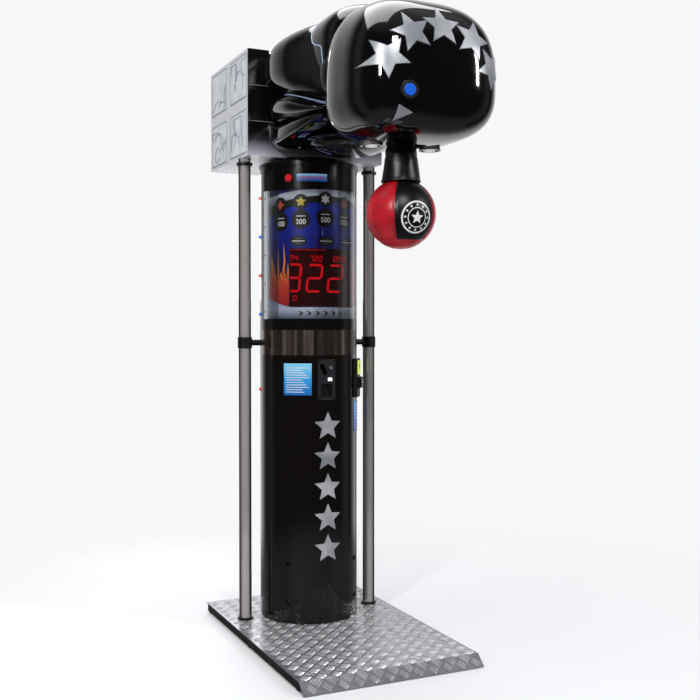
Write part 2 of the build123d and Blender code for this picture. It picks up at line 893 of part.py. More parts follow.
# Printed plates: playing hints, prices beside the bill unit, and the sign beside the select button.
printed_plates = [
    (-54.8, -18.9, base_height + 912, base_height + 1038),
    (bill_angle - 13, bill_angle + 13, base_height + 757, base_height + 878),
    (-35.6, -1, select_height - 15, select_height + 15),
]
with BuildPart() as information_plates:
    for first_angle, last_angle, bottom, top in printed_plates:
        plate_inner = column_radius + seat_gap / 2
        add(curved_sheet(plate_inner, column_radius + 1.5, first_angle, last_angle, bottom, top))
information_plates.part.label = "information_plates"
export_step(information_plates.part, "parts/information_plates.step")

# Domed bolts through the foot sleeve, hexagon bolts through the foot flange, and small screws.
strip_screw_radius = 3
strip_screw_count = 5
strip_screw_inset = 30
screw_pitch = (display_height - 2 * strip_screw_inset) / (strip_screw_count - 1)
with BuildPart() as fasteners:
    for angle in trim_angles:
        for height in trim_heights:
            add(domed_bolt(column_face(angle, height)))
    flange_top = base_height + foot_flange_thickness
    with BuildSketch(Plane.XY.offset(flange_top)):
        with Locations(*anchor_places):
            RegularPolygon(anchor_head_radius, 6)
    extrude(amount=anchor_head_height)
    with BuildSketch(Plane.XY.offset(frame_top - pad_thickness)):
        with Locations(*anchor_places):
            Circle(anchor_radius)
    extrude(amount=flange_top - frame_top + pad_thickness)
    # Round screw heads down the cover's strips and at the corners of the coin plate.
    for side in (-1, 1):
        screw_angle = side * (cover_half_angle + strip_angle / 2)
        for step in range(strip_screw_count):
            screw_plane = column_face(screw_angle, display_base + strip_screw_inset + step * screw_pitch)
            add(outward_rod(screw_plane, strip_screw_radius, 1.1, 3))
    with BuildSketch(coin_plane.offset(coin_proud)):
        with GridLocations(coin_width - 12, coin_tall - 12, 2, 2):
            Circle(strip_screw_radius)
    extrude(amount=1.5)
fasteners.part.label = "fasteners"
export_step(fasteners.part, "parts/fasteners.step")

# Five silver stars down the front of the lower shell.
column_star_count = 5
column_star_pitch = 122
column_star_radius = 58
star_waist = 0.46
column_star_top = base_height + 788
with BuildPart() as column_stars:
    for step in range(column_star_count):
        star_height = column_star_top - step * column_star_pitch
        with BuildSketch(column_face(0, star_height, 0)):
            Polygon(*star_points(column_star_radius, column_star_radius * star_waist), align=None)
        extrude(amount=column_radius * 1.5)
    star_shell = ring(
        column_radius + seat_gap / 2,
        column_radius + emblem_thickness,
        column_star_top - column_star_count * column_star_pitch,
        column_star_top + column_star_pitch,
        (0, column_y),
    )
    add(star_shell, mode=Mode.INTERSECT)

# ================= REAR DOOR AND POWER =================
door_gap_angle = 0.35
hinge_radius = 6
hinge_pin_radius = 3
hinge_angle = door_angle - door_half_angle - 2
hinge_out = hinge_radius + 1
turn = math.radians(hinge_angle)
hinge_x = (column_radius + hinge_out) * math.sin(turn)
hinge_y = column_y - (column_radius + hinge_out) * math.cos(turn)
knuckle_gap = 1
knuckle_height = 60
hinge_levels = [door_bottom + 90, door_top - 90]
leaf_angle = 10
leaf_inner = column_radius + body_gap
leaf_outer = leaf_inner + 3
lock_angle = door_angle + door_half_angle - 8
lock_height = (door_bottom + door_top) / 2
lock_plane = column_face(lock_angle, lock_height)
lock_radius = 9
with BuildPart() as service_door:
    add(
        curved_sheet(
            shell_inner_radius,
            column_radius,
            door_angle - door_half_angle + door_gap_angle,
            door_angle + door_half_angle - door_gap_angle,
            door_bottom + 1.2,
            door_top - 1.2,
        )
    )
    for level in hinge_levels:
        low = level - knuckle_height / 2 + knuckle_gap
        high = level + knuckle_height / 2 - knuckle_gap
        add(curved_sheet(leaf_inner, leaf_outer, hinge_angle, hinge_angle + leaf_angle, low, high))
        door_edge = door_angle - door_half_angle + door_gap_angle
        add(curved_sheet(column_radius - 1, leaf_outer, door_edge + 1, hinge_angle + leaf_angle, low, high))
        add(ring(0, hinge_radius, low, high, (hinge_x, hinge_y)))
        pin_room = ring(0, hinge_pin_radius + 0.05, low, high, (hinge_x, hinge_y))
        add(pin_room, mode=Mode.SUBTRACT)
    with BuildSketch(lock_plane.offset(-20)):
        Circle(lock_radius + body_gap)
    extrude(amount=40, mode=Mode.SUBTRACT)
service_door.part.label = "service_door"
export_step(service_door.part, "parts/service_door.step")

fixed_knuckle = 20
with BuildPart() as door_hinges:
    for level in hinge_levels:
        for side in (-1, 1):
            near = level + side * knuckle_height / 2
            far = near + side * fixed_knuckle
            add(ring(0, hinge_radius, min(near, far), max(near, far), (hinge_x, hinge_y)))
            fixed_leaf = (leaf_inner, leaf_outer, hinge_angle - leaf_angle / 2, hinge_angle)
            add(curved_sheet(*fixed_leaf, min(near, far), max(near, far)))
        add(
            ring(
                0,
                hinge_pin_radius,
                level - knuckle_height / 2 - fixed_knuckle,
                level + knuckle_height / 2 + fixed_knuckle,
                (hinge_x, hinge_y),
            )
        )
door_hinges.part.label = "door_hinges"
export_step(door_hinges.part, "parts/door_hinges.step")

cam_length = 46
cam_start = -16
with BuildPart() as door_lock:
    add(outward_rod(lock_plane, lock_radius, -18, 0))
    add(outward_rod(lock_plane, lock_radius + 3, 0.2, 4))
    add(outward_rod(lock_plane, lock_radius, 0, 0.2))
    with BuildSketch(lock_plane.offset(cam_start - 5)):
        with Locations((0, cam_length / 2 - 6)):
            Rectangle(12, cam_length)
    extrude(amount=3)
    with BuildSketch(lock_plane.offset(cam_start - 5)):
        Circle(5)
    extrude(amount=5)
    with BuildSketch(lock_plane.offset(2)):
        Rectangle(1.4, 8)
    extrude(amount=2, mode=Mode.SUBTRACT)
door_lock.part.label = "door_lock"
export_step(door_lock.part, "parts/door_lock.step")

inlet_plane = column_face(inlet_angle, inlet_height)
inlet_depth = 30
with BuildPart() as power_inlet:
    add(outward_block(inlet_plane, inlet_width, inlet_tall, -inlet_depth, 3))
    with BuildSketch(inlet_plane.offset(-15)):
        RectangleRounded(24, 17, 3)
    extrude(amount=18, mode=Mode.SUBTRACT)
    with BuildSketch(inlet_plane.offset(-15)):
        with GridLocations(7, 5, 2, 1):
            Rectangle(2, 4)
    extrude(amount=12)
power_inlet.part.label = "power_inlet"
export_step(power_inlet.part, "parts/power_inlet.step")

# The cash box and the power supply stand on the shelf.
cash_width = 150
cash_depth = 120
cash_tall = 130
cash_wall = 1.5
cash_y = at_reach(80)
with BuildPart() as cash_box:
    with BuildSketch(Plane.XY.offset(shelf_top)):
        with Locations((0, cash_y)):
            Rectangle(cash_width, cash_depth)
    extrude(amount=cash_tall)
    with BuildSketch(Plane.XY.offset(shelf_top + cash_wall)):
        with Locations((0, cash_y)):
            Rectangle(cash_width - 2 * cash_wall, cash_depth - 2 * cash_wall)
    extrude(amount=cash_tall, mode=Mode.SUBTRACT)
cash_box.part.label = "cash_box"
export_step(cash_box.part, "parts/cash_box.step")

supply_y = at_reach(-60)
with BuildPart() as power_supply:
    add(block(-110, 50, supply_y - 50, supply_y + 50, shelf_top, shelf_top + 55))
    with BuildSketch(Plane.XY.offset(shelf_top + 52)):
        with Locations((-30, supply_y)):
            with GridLocations(12, 1, 9, 1):
                Rectangle(4, 70)
    extrude(amount=3, mode=Mode.SUBTRACT)
power_supply.part.label = "power_supply"
export_step(power_supply.part, "parts/power_supply.step")

# ================= SIDE TUBES =================
with BuildPart() as side_tubes:
    for side in (-1, 1):
        place = (side * tube_x, column_y)
        add(ring(tube_radius - tube_wall, tube_radius, base_height, column_top, place))
side_tubes.part.label = "side_tubes"
export_step(side_tubes.part, "parts/side_tubes.step")

flange_radius = tube_radius + 7
floor_flange_height = 10
top_flange_height = 12
top_flange_drop = 17
clamp_radius = tube_radius + 4
clamp_height = 44
clamp_level = mirror_base + mirror_height / 2 - 1
arm_bar_radius = 12
flange_base = column_top - top_flange_drop - top_flange_height
clamp_low = clamp_level - clamp_height / 2
with BuildPart() as cross_bars:
    for side in (-1, 1):
        near = side * (column_radius - 20)
        far = side * tube_x
        add(cross_rod(arm_bar_radius, min(near, far), max(near, far), column_y, clamp_level))
        place = (side * tube_x, column_y)
        clamp_room = ring(0, clamp_radius + seat_gap / 2, clamp_low, clamp_low + clamp_height, place)
        add(clamp_room, mode=Mode.SUBTRACT)
    column_room = ring(0, column_radius + seat_gap / 2, clamp_low, clamp_low + clamp_height, (0, column_y))
    add(column_room, mode=Mode.SUBTRACT)

with BuildPart() as tube_fittings:
    # A flange at each end of each tube, and a clamp where the cross bar meets it.
    for side in (-1, 1):
        place = (side * tube_x, column_y)
        bore = tube_radius + seat_gap / 2
        add(ring(bore, flange_radius, base_height, base_height + floor_flange_height, place))
        add(ring(bore, flange_radius, flange_base, flange_base + top_flange_height, place))
        add(ring(bore, clamp_radius, clamp_low, clamp_low + clamp_height, place))
    fillet(tube_fittings.edges().filter_by(GeomType.CIRCLE).group_by(SortBy.RADIUS)[-1], 2)
    # The cross bars run from the clamps to the column.
    add(cross_bars.part)
tube_fittings.part.label = "tube_fittings"
export_step(tube_fittings.part, "parts/tube_fittings.step")

# ================= HEAD BOX =================
box_front_y = at_reach(head_box_front_reach)
box_back_y = at_reach(-head_box_back_reach)
front_plate_thickness = 4
box_shell_front_y = box_front_y + front_plate_thickness
box_half = head_box_width / 2
beam_spacing = 210
beam_width = 40
beam_tall = 80
beam_wall = 3
beam_base = fist_bottom + 271
neck_opening_width = beam_spacing + beam_width + 40
neck_opening_base = beam_base - 20
neck_opening_tall = beam_tall + 40
post_depth = 58

with BuildPart() as head_box:
    add(block(-box_half, box_half, box_shell_front_y, box_back_y, column_top, head_top))
    add(
        block(
            -box_half + box_wall,
            box_half - box_wall,
            box_shell_front_y + box_wall,
            box_back_y,
            column_top + box_wall,
            head_top - box_wall,
        ),
        mode=Mode.SUBTRACT,
    )
    # Cable hole over the column, and the beams' way out at the front.
    with BuildSketch(Plane.XY.offset(column_top)):
        with Locations((0, column_y)):
            Circle(cable_hole_radius)
    extrude(amount=box_wall, mode=Mode.SUBTRACT)
    with BuildSketch(Plane((0, box_shell_front_y, 0), x_dir=(1, 0, 0), z_dir=(0, -1, 0))):
        with Locations((0, neck_opening_base + neck_opening_tall / 2)):
            Rectangle(neck_opening_width, neck_opening_tall)
    extrude(amount=-box_wall, mode=Mode.SUBTRACT)
head_box.part.label = "head_box"
export_step(head_box.part, "parts/head_box.step")

with BuildPart() as head_front_plate:
    add(block(-box_half, box_half, box_front_y, box_shell_front_y, column_top, head_top))
    with BuildSketch(Plane((0, box_shell_front_y, 0), x_dir=(1, 0, 0), z_dir=(0, -1, 0))):
        with Locations((0, neck_opening_base + neck_opening_tall / 2)):
            Rectangle(neck_opening_width, neck_opening_tall)
    extrude(amount=front_plate_thickness, mode=Mode.SUBTRACT)
head_front_plate.part.label = "head_front_plate"
export_step(head_front_plate.part, "parts/head_front_plate.step")

vent_count = 8
vent_pitch = 16
with BuildPart() as head_rear_cover:
    add(
        block(
            -box_half,
            box_half,
            box_back_y,
            box_back_y + rear_cover_thickness,
            column_top,
            head_top,
        )
    )
    with BuildSketch(Plane((0, box_back_y, 0), x_dir=(-1, 0, 0), z_dir=(0, 1, 0))):
        with Locations((0, head_top - 110)):
            with GridLocations(1, vent_pitch, 1, vent_count):
                SlotOverall(220, 6)
    extrude(amount=rear_cover_thickness, mode=Mode.SUBTRACT)
head_rear_cover.part.label = "head_rear_cover"
export_step(head_rear_cover.part, "parts/head_rear_cover.step")

# Four thin decorated panels on each side of the box, in two columns and two rows.
side_panel_thickness = 1.5
side_panel_margin = 14
side_panel_gutter = 48
side_panel_wide = (head_box_front_reach + head_box_back_reach - 2 * side_panel_margin - side_panel_gutter) / 2
side_panel_tall = (head_box_height - 2 * side_panel_margin - side_panel_gutter) / 2
box_mid_y = (box_front_y + box_back_y) / 2
box_mid_z = (column_top + head_top) / 2
with BuildPart() as side_panels:
    for side in (-1, 1):
        panel_plane = Plane((side * box_half, box_mid_y, box_mid_z), x_dir=(0, side, 0), z_dir=(side, 0, 0))
        with BuildSketch(panel_plane):
            with GridLocations(side_panel_wide + side_panel_gutter, side_panel_tall + side_panel_gutter, 2, 2):
                Rectangle(side_panel_wide, side_panel_tall)
        extrude(amount=side_panel_thickness)
side_panels.part.label = "side_panels"
export_step(side_panels.part, "parts/side_panels.step")

# ================= HEAD BEAMS =================
fist_front_y = at_reach(fist_front_reach)
fist_back_y = fist_front_y + fist_depth
beam_front_y = at_reach(arm_reach + 110)
beam_back_y = box_back_y - 60
beam_x = beam_spacing / 2
post_plate = 6
post_foot = 10
post_base = column_top + box_wall
post_gap = 30
with BuildPart() as head_frame:
    for side in (-1, 1):
        with BuildSketch(Plane((0, beam_front_y, 0), x_dir=(-1, 0, 0), z_dir=(0, 1, 0))):
            with Locations((side * beam_x, beam_base + beam_tall / 2)):
                Rectangle(beam_width, beam_tall)
                Rectangle(beam_width - 2 * beam_wall, beam_tall - 2 * beam_wall, mode=Mode.SUBTRACT)
        extrude(amount=beam_back_y - beam_front_y)
        # Two posts under each beam stand on a foot plate in the head box.
        for row in (-1, 1):
            post_y = column_y + row * (post_depth + post_gap) / 2
            with BuildSketch(Plane.XY.offset(post_base + post_plate)):
                with Locations((side * beam_x, post_y)):
                    Rectangle(beam_width, post_depth)
                    Rectangle(beam_width - 2 * beam_wall, post_depth - 2 * beam_wall, mode=Mode.SUBTRACT)
            extrude(amount=beam_base - post_base - post_plate)
        add(
            block(
                side * beam_x - beam_width / 2 - post_foot,
                side * beam_x + beam_width / 2 + post_foot,
                column_y - post_depth - post_gap / 2,
                column_y + post_depth + post_gap / 2,
                post_base,
                post_base + post_plate,
            )
        )
head_frame.part.label = "head_frame"
export_step(head_frame.part, "parts/head_frame.step")

# ================= GLOVE SHELLS =================
fist_top_round = 125
fist_bottom_round = 100
pivot_y = at_reach(arm_reach)
slot_half_width = 64
slot_front_y = pivot_y - 78
slot_back_y = fist_back_y - 10
spot_x = 111
spot_radius = 38
spot_hole_radius = 36
start_height = fist_bottom + 121
start_corner_y = fist_front_y + fist_corner
start_plane = face_on(start_corner_x, start_corner_y, fist_corner, start_angle, start_height)
start_barrel_radius = start_cap_radius + button_gap + button_wall
with BuildPart() as fist_shell:
    add(fist_solid(0))
    add(fist_solid(-glove_wall), mode=Mode.SUBTRACT)
    # The slot that the arm swings in.
    with BuildSketch(Plane.XY.offset(fist_bottom - 5)):
        with Locations((0, (slot_front_y + slot_back_y) / 2)):
            RectangleRounded(2 * slot_half_width, slot_back_y - slot_front_y, 20)
    extrude(amount=fist_bottom_round + 5, mode=Mode.SUBTRACT)
    with BuildSketch(Plane.XY.offset(fist_bottom - 5)):
        with Locations((-spot_x, pivot_y), (spot_x, pivot_y)):
            Circle(spot_hole_radius + body_gap)
    extrude(amount=40, mode=Mode.SUBTRACT)
    with BuildSketch(Plane((0, fist_back_y, 0), x_dir=(1, 0, 0), z_dir=(0, -1, 0))):
        with Locations((0, neck_opening_base + neck_opening_tall / 2)):
            Rectangle(neck_opening_width, neck_opening_tall)
    extrude(amount=40, mode=Mode.SUBTRACT)
    with BuildSketch(start_plane.offset(-20)):
        Circle(start_barrel_radius + body_gap)
    extrude(amount=30, mode=Mode.SUBTRACT)
fist_shell.part.label = "fist_shell"
export_step(fist_shell.part, "parts/fist_shell.step")

# The back of the hand: an upper lobe, a lower lobe beside the thumb, and the wrist pan under both.
neck_length = 23
hand_front_y = fist_back_y + neck_length
hand_width = 536
hand_top = head_top + 30
lobe_split = fist_bottom + 250
lower_lobe_base = fist_bottom + 116
lower_lobe_width = 520
hand_side_wall = 5


def lobe(width, bottom, top, top_round, bottom_round, front_round):
    """One rounded lobe that runs from the neck to the head box."""
    with BuildPart() as body:
        with BuildSketch(Plane((0, box_front_y, 0), x_dir=(1, 0, 0), z_dir=(0, -1, 0))) as section:
            with Locations((0, (bottom + top) / 2)):
                Rectangle(width, top - bottom)
            fillet(section.vertices().group_by(Axis.Y)[-1], top_round)
            fillet(section.vertices().group_by(Axis.Y)[0], bottom_round)
        extrude(amount=box_front_y - hand_front_y)
        fillet(body.faces().sort_by(Axis.Y)[0].edges(), front_round)
    return body.part


def hollow_lobe(width, bottom, top, top_round, bottom_round, front_round):
    """The lobe as a moulded shell, open at the head box and at the neck."""
    wall = hand_side_wall
    outside = lobe(width, bottom, top, top_round, bottom_round, front_round)
    inside = lobe(
        width - 2 * wall,
        bottom + wall,
        top - wall,
        top_round - wall,
        bottom_round - wall,
        front_round - wall,
    )
    with BuildPart() as body:
        add(outside)
        add(inside.moved(Location((0, wall, 0))), mode=Mode.SUBTRACT)
        box_side = block(-width, width, box_front_y, box_front_y + 50, bottom - 50, top + 50)
        add(box_side, mode=Mode.SUBTRACT)
    return body.part


with BuildPart() as hand_shell:
    add(hollow_lobe(hand_width, lobe_split, hand_top, 120, 40, 34))
    with BuildSketch(Plane((0, hand_front_y + 60, 0), x_dir=(1, 0, 0), z_dir=(0, -1, 0))):
        with Locations((0, neck_opening_base + neck_opening_tall / 2)):
            Rectangle(neck_opening_width, neck_opening_tall)
    extrude(amount=80, mode=Mode.SUBTRACT)
hand_shell.part.label = "hand_shell"
export_step(hand_shell.part, "parts/hand_shell.step")

# The lower lobe, with the bowl-shaped bulge under the wrist moulded into its floor.
bulge_y = at_reach(400)
bulge_radius = 145
bulge_bottom = column_top - 34
bulge_height = lower_lobe_base - bulge_bottom


def bowl(rim_radius, depth):
    """A bowl-shaped cap that hangs below the lower lobe's floor."""
    sphere_radius = (rim_radius**2 + depth**2) / (2 * depth)
    with BuildPart() as body:
        with Locations((0, bulge_y, lower_lobe_base - depth + sphere_radius)):
            Sphere(sphere_radius)
        with BuildSketch(Plane.XY.offset(lower_lobe_base)):
            with Locations((0, bulge_y)):
                Circle(sphere_radius * 1.1)
        extrude(amount=sphere_radius * 2, mode=Mode.SUBTRACT)
    return body.part


with BuildPart() as thumb_shell:
    add(hollow_lobe(lower_lobe_width, lower_lobe_base, lobe_split - seat_gap, 40, 60, 34))
    add(bowl(bulge_radius, bulge_height))
    add(bowl(bulge_radius - hand_side_wall, bulge_height - hand_side_wall), mode=Mode.SUBTRACT)
    with BuildSketch(Plane.XY.offset(lower_lobe_base)):
        with Locations((0, bulge_y)):
            Circle(bulge_radius - hand_side_wall)
    extrude(amount=hand_side_wall, mode=Mode.SUBTRACT)
    with BuildSketch(Plane((0, hand_front_y + 60, 0), x_dir=(1, 0, 0), z_dir=(0, -1, 0))):
        with Locations((0, neck_opening_base + neck_opening_tall / 2)):
            Rectangle(neck_opening_width, neck_opening_tall)
    extrude(amount=80, mode=Mode.SUBTRACT)
thumb_shell.part.label = "thumb_shell"
export_step(thumb_shell.part, "parts/thumb_shell.step")

# The narrow neck between the hand and the fist, cut to the round of the fist's back.
neck_width = 440
neck_base = lower_lobe_base + 40
neck_top = fist_top - 60
neck_wall = 6
neck_corner = 100
neck_run = neck_length + 75
with BuildPart() as glove_neck:
    neck_plane = Plane((0, hand_front_y, 0), x_dir=(1, 0, 0), z_dir=(0, -1, 0))
    neck_middle = (neck_base + neck_top) / 2
    neck_tall = neck_top - neck_base
    with BuildSketch(neck_plane):
        with Locations((0, neck_middle)):
            RectangleRounded(neck_width, neck_tall, neck_corner)
            RectangleRounded(
                neck_width - 2 * neck_wall,
                neck_tall - 2 * neck_wall,
                neck_corner - neck_wall,
                mode=Mode.SUBTRACT,
            )
    extrude(amount=neck_run)
    with BuildSketch(neck_plane):
        with Locations((0, neck_middle)):
            RectangleRounded(neck_width - 2, neck_tall - 2, neck_corner - 1)
        with Locations((0, neck_opening_base + neck_opening_tall / 2)):
            Rectangle(neck_opening_width, neck_opening_tall, mode=Mode.SUBTRACT)
    extrude(amount=neck_wall)
    add(fist_solid(seat_gap), mode=Mode.SUBTRACT)
glove_neck.part.label = "glove_neck"
export_step(glove_neck.part, "parts/glove_neck.step")

# Five silver stars in an arch across the front of the fist.
arch_star_count = 5
arch_radius = 210
arch_centre_height = fist_bottom + 124
arch_step_angle = 31
arch_star_radius = 66
with BuildPart() as fist_stars:
    for step in range(arch_star_count):
        turn = math.radians((step - (arch_star_count - 1) / 2) * arch_step_angle)
        star_x = arch_radius * math.sin(turn)
        star_z = arch_centre_height + arch_radius * math.cos(turn)
        star_plane = Plane((star_x, fist_front_y - 20, star_z), x_dir=(1, 0, 0), z_dir=(0, -1, 0))
        with BuildSketch(star_plane):
            Polygon(*star_points(arch_star_radius, arch_star_radius * star_waist), align=None)
        extrude(amount=-150)
    add(fist_solid(emblem_thickness), mode=Mode.INTERSECT)
    add(fist_solid(seat_gap / 2), mode=Mode.SUBTRACT)

with BuildPart() as silver_stars:
    add(column_stars.part)
    add(fist_stars.part)
silver_stars.part.label = "silver_stars"
export_step(silver_stars.part, "parts/silver_stars.step")

with BuildPart() as button_bezels:
    add(button_bezel(start_plane, start_cap_radius, start_bezel_radius, start_travel))
    add(button_bezel(select_plane, select_cap_radius, select_bezel_radius, select_travel))
button_bezels.part.label = "button_bezels"
export_step(button_bezels.part, "parts/button_bezels.step")

with BuildPart() as start_button:
    add(button_cap(start_plane, start_cap_radius, cap_proud, start_travel))
start_button.part.label = "start_button"
export_step(start_button.part, "parts/start_button.step")

# Switch blocks behind both push buttons.
with BuildPart() as button_switches:
    add(button_switch(start_plane))
    add(button_switch(select_plane))
button_switches.part.label = "button_switches"
export_step(button_switches.part, "parts/button_switches.step")

spot_lens_radius = 30
with BuildPart() as spotlight_rings:
    for side in (-1, 1):
        place = (side * spot_x, pivot_y)
        add(ring(spot_lens_radius, spot_radius, fist_bottom - 3, fist_bottom, place))
        add(ring(spot_lens_radius, spot_hole_radius, fist_bottom, fist_bottom + 22, place))
spotlight_rings.part.label = "spotlight_rings"
export_step(spotlight_rings.part, "parts/spotlight_rings.step")

with BuildPart() as spotlight_lamps:
    for side in (-1, 1):
        place = (side * spot_x, pivot_y)
        add(ring(0, spot_lens_radius - seat_gap, fist_bottom + 6, fist_bottom + 12, place))
        add(ring(0, spot_lens_radius - 6, fist_bottom + 12, fist_bottom + 50, place))
spotlight_lamps.part.label = "spotlight_lamps"
export_step(spotlight_lamps.part, "parts/spotlight_lamps.step")

# ================= PUNCHING ARM =================
shaft_radius = 10 - shaft_running_gap
bearing_bore = 10
bearing_outer = 21
bearing_width = 12
cheek_thickness = 12
cheek_x = 76
cheek_depth = 90
cheek_bottom = pivot_height - 34
bracket_top_thickness = 10
bracket_depth = 150
with BuildPart() as pivot_bracket:
    add(
        block(
            -beam_x - beam_width / 2,
            beam_x + beam_width / 2,
            pivot_y - bracket_depth / 2,
            pivot_y + bracket_depth / 2,
            beam_base - bracket_top_thickness,
            beam_base,
        )
    )
    for side in (-1, 1):
        near = side * cheek_x
        far = side * (cheek_x + cheek_thickness)
        add(
            block(
                min(near, far),
                max(near, far),
                pivot_y - cheek_depth / 2,
                pivot_y + cheek_depth / 2,
                cheek_bottom,
                beam_base - bracket_top_thickness,
            )
        )
        bearing_seat = cross_rod(bearing_outer, min(near, far), max(near, far), pivot_y, pivot_height)
        add(bearing_seat, mode=Mode.SUBTRACT)
pivot_bracket.part.label = "pivot_bracket"
export_step(pivot_bracket.part, "parts/pivot_bracket.step")

with BuildPart() as pivot_bearings:
    for side in (-1, 1):
        near = side * cheek_x
        far = side * (cheek_x + bearing_width)
        add(cross_rod(bearing_outer - 0.02, min(near, far), max(near, far), pivot_y, pivot_height))
        bore = cross_rod(bearing_bore, min(near, far), max(near, far), pivot_y, pivot_height)
        add(bore, mode=Mode.SUBTRACT)
pivot_bearings.part.label = "pivot_bearings"
export_step(pivot_bearings.part, "parts/pivot_bearings.step")

shaft_half = cheek_x + cheek_thickness + 14
with BuildPart() as pivot_shaft:
    add(cross_rod(shaft_radius, -shaft_half, shaft_half, pivot_y, pivot_height))
pivot_shaft.part.label = "pivot_shaft"
export_step(pivot_shaft.part, "parts/pivot_shaft.step")

hub_radius = 24
hub_half = cheek_x - 6
arm_tube_radius = 17
cup_thickness = 6
cup_radius = 30
ball_radius = ball_diameter / 2
ball_flat_height = ball_height + math.sqrt(ball_radius**2 - cup_radius**2)
sleeve_top = pivot_height - 85
sleeve_hem = ball_flat_height - 9
sleeve_top_radius = 46
sleeve_hem_radius = 63
collar_thickness = 12
with BuildPart() as swing_arm:
    with BuildSketch(Plane((0, pivot_y, ball_flat_height + cup_thickness))):
        Circle(arm_tube_radius)
    extrude(amount=pivot_height - ball_flat_height - cup_thickness)
    add(cross_rod(hub_radius, -hub_half, hub_half, pivot_y, pivot_height))
    with BuildSketch(Plane((0, pivot_y, ball_flat_height))):
        Circle(cup_radius)
    extrude(amount=cup_thickness)
    # The collar that the leather sleeve is laced to.
    with BuildSketch(Plane((0, pivot_y, sleeve_top - collar_thickness))):
        Circle(sleeve_top_radius - leather_thickness - seat_gap)
    extrude(amount=collar_thickness)
    shaft_hole = cross_rod(shaft_radius + 0.01, -hub_half, hub_half, pivot_y, pivot_height)
    add(shaft_hole, mode=Mode.SUBTRACT)
swing_arm.part.label = "swing_arm"
export_step(swing_arm.part, "parts/swing_arm.step")

ball_skin = 5
with BuildPart() as ball_leather:
    with BuildSketch(Plane((0, pivot_y, ball_height), x_dir=(1, 0, 0), z_dir=(0, -1, 0))):
        with BuildLine():
            CenterArc((0, 0), ball_radius, -90, 180)
            Line((0, ball_radius), (0, -ball_radius))
        make_face()
        with BuildLine():
            CenterArc((0, 0), ball_radius - ball_skin, -90, 180)
            Line((0, ball_radius - ball_skin), (0, -ball_radius + ball_skin))
        make_face(mode=Mode.SUBTRACT)
    revolve(axis=Axis((0, pivot_y, 0), (0, 0, 1)))
    with BuildSketch(Plane((0, pivot_y, ball_flat_height))):
        Circle(ball_radius)
    extrude(amount=ball_radius, mode=Mode.SUBTRACT)
ball_leather.part.label = "ball_leather"
export_step(ball_leather.part, "parts/ball_leather.step")

core_ball_radius = ball_radius - ball_skin - seat_gap
with BuildPart() as ball_core:
    with Locations((0, pivot_y, ball_height)):
        Sphere(core_ball_radius)
    with BuildSketch(Plane((0, pivot_y, ball_flat_height))):
        Circle(ball_radius)
    extrude(amount=ball_radius, mode=Mode.SUBTRACT)
ball_core.part.label = "ball_core"
export_step(ball_core.part, "parts/ball_core.step")

with BuildPart() as ball_sleeve:
    with BuildSketch(Plane((0, pivot_y, sleeve_hem))):
        Circle(sleeve_hem_radius)
    with BuildSketch(Plane((0, pivot_y, sleeve_top))):
        Circle(sleeve_top_radius)
    loft()
    with BuildSketch(Plane((0, pivot_y, sleeve_hem))):
        Circle(sleeve_hem_radius - leather_thickness)
    with BuildSketch(Plane((0, pivot_y, sleeve_top))):
        Circle(sleeve_top_radius - leather_thickness)
    loft(mode=Mode.SUBTRACT)
ball_sleeve.part.label = "ball_sleeve"
export_step(ball_sleeve.part, "parts/ball_sleeve.step")

# Rubber stops between the cheeks: the arm's tube meets them at both ends of its swing.
swing_back = 45
swing_forward = 10
stop_depth = 16
stop_width = 24
stop_drop = 44
with BuildPart() as swing_stops:
    stop_cheek = cheek_x - 0.2
    for turn_limit in (swing_back + 0.5, -swing_forward - 0.5):
        limit = math.radians(turn_limit)
        away = math.copysign(arm_tube_radius + stop_depth / 2, turn_limit)
        stop_y = pivot_y + stop_drop * math.sin(limit) + away * math.cos(limit)
        stop_z = pivot_height - stop_drop * math.cos(limit) + away * math.sin(limit)
        stop_plane = Plane(
            origin=(-stop_cheek, stop_y, stop_z),
            x_dir=(0, math.cos(limit), math.sin(limit)),
            z_dir=(1, 0, 0),
        )
        with BuildSketch(stop_plane):
            Rectangle(stop_depth, stop_width)
        extrude(amount=2 * stop_cheek)
swing_stops.part.label = "swing_stops"
export_step(swing_stops.part, "parts/swing_stops.step")

encoder_radius = 34
encoder_x = shaft_half - 6
with BuildPart() as encoder_disc:
    add(cross_rod(encoder_radius, encoder_x, encoder_x + 2, pivot_y, pivot_height))
    add(
        cross_rod(shaft_radius + 0.01, encoder_x - 1, encoder_x + 3, pivot_y, pivot_height),
        mode=Mode.SUBTRACT,
    )
encoder_disc.part.label = "encoder_disc"
export_step(encoder_disc.part, "parts/encoder_disc.step")

fork_gap = 3
with BuildPart() as swing_sensor:
    sensor_low = encoder_x - fork_gap - 4
    sensor_high = encoder_x + 2 + fork_gap + 4
    sensor_z = pivot_height + encoder_radius
    add(block(sensor_low, sensor_high, pivot_y - 10, pivot_y + 10, sensor_z - 12, beam_base - bracket_top_thickness))
    add(
        block(
            encoder_x - fork_gap,
            encoder_x + 2 + fork_gap,
            pivot_y - 11,
            pivot_y + 11,
            sensor_z - 13,
            sensor_z + 6,
        ),
        mode=Mode.SUBTRACT,
    )
swing_sensor.part.label = "swing_sensor"
export_step(swing_sensor.part, "parts/swing_sensor.step")
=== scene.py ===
import bpy
import bmesh
import math
import random
from mathutils import Vector, Matrix
from mathutils.bvhtree import BVHTree


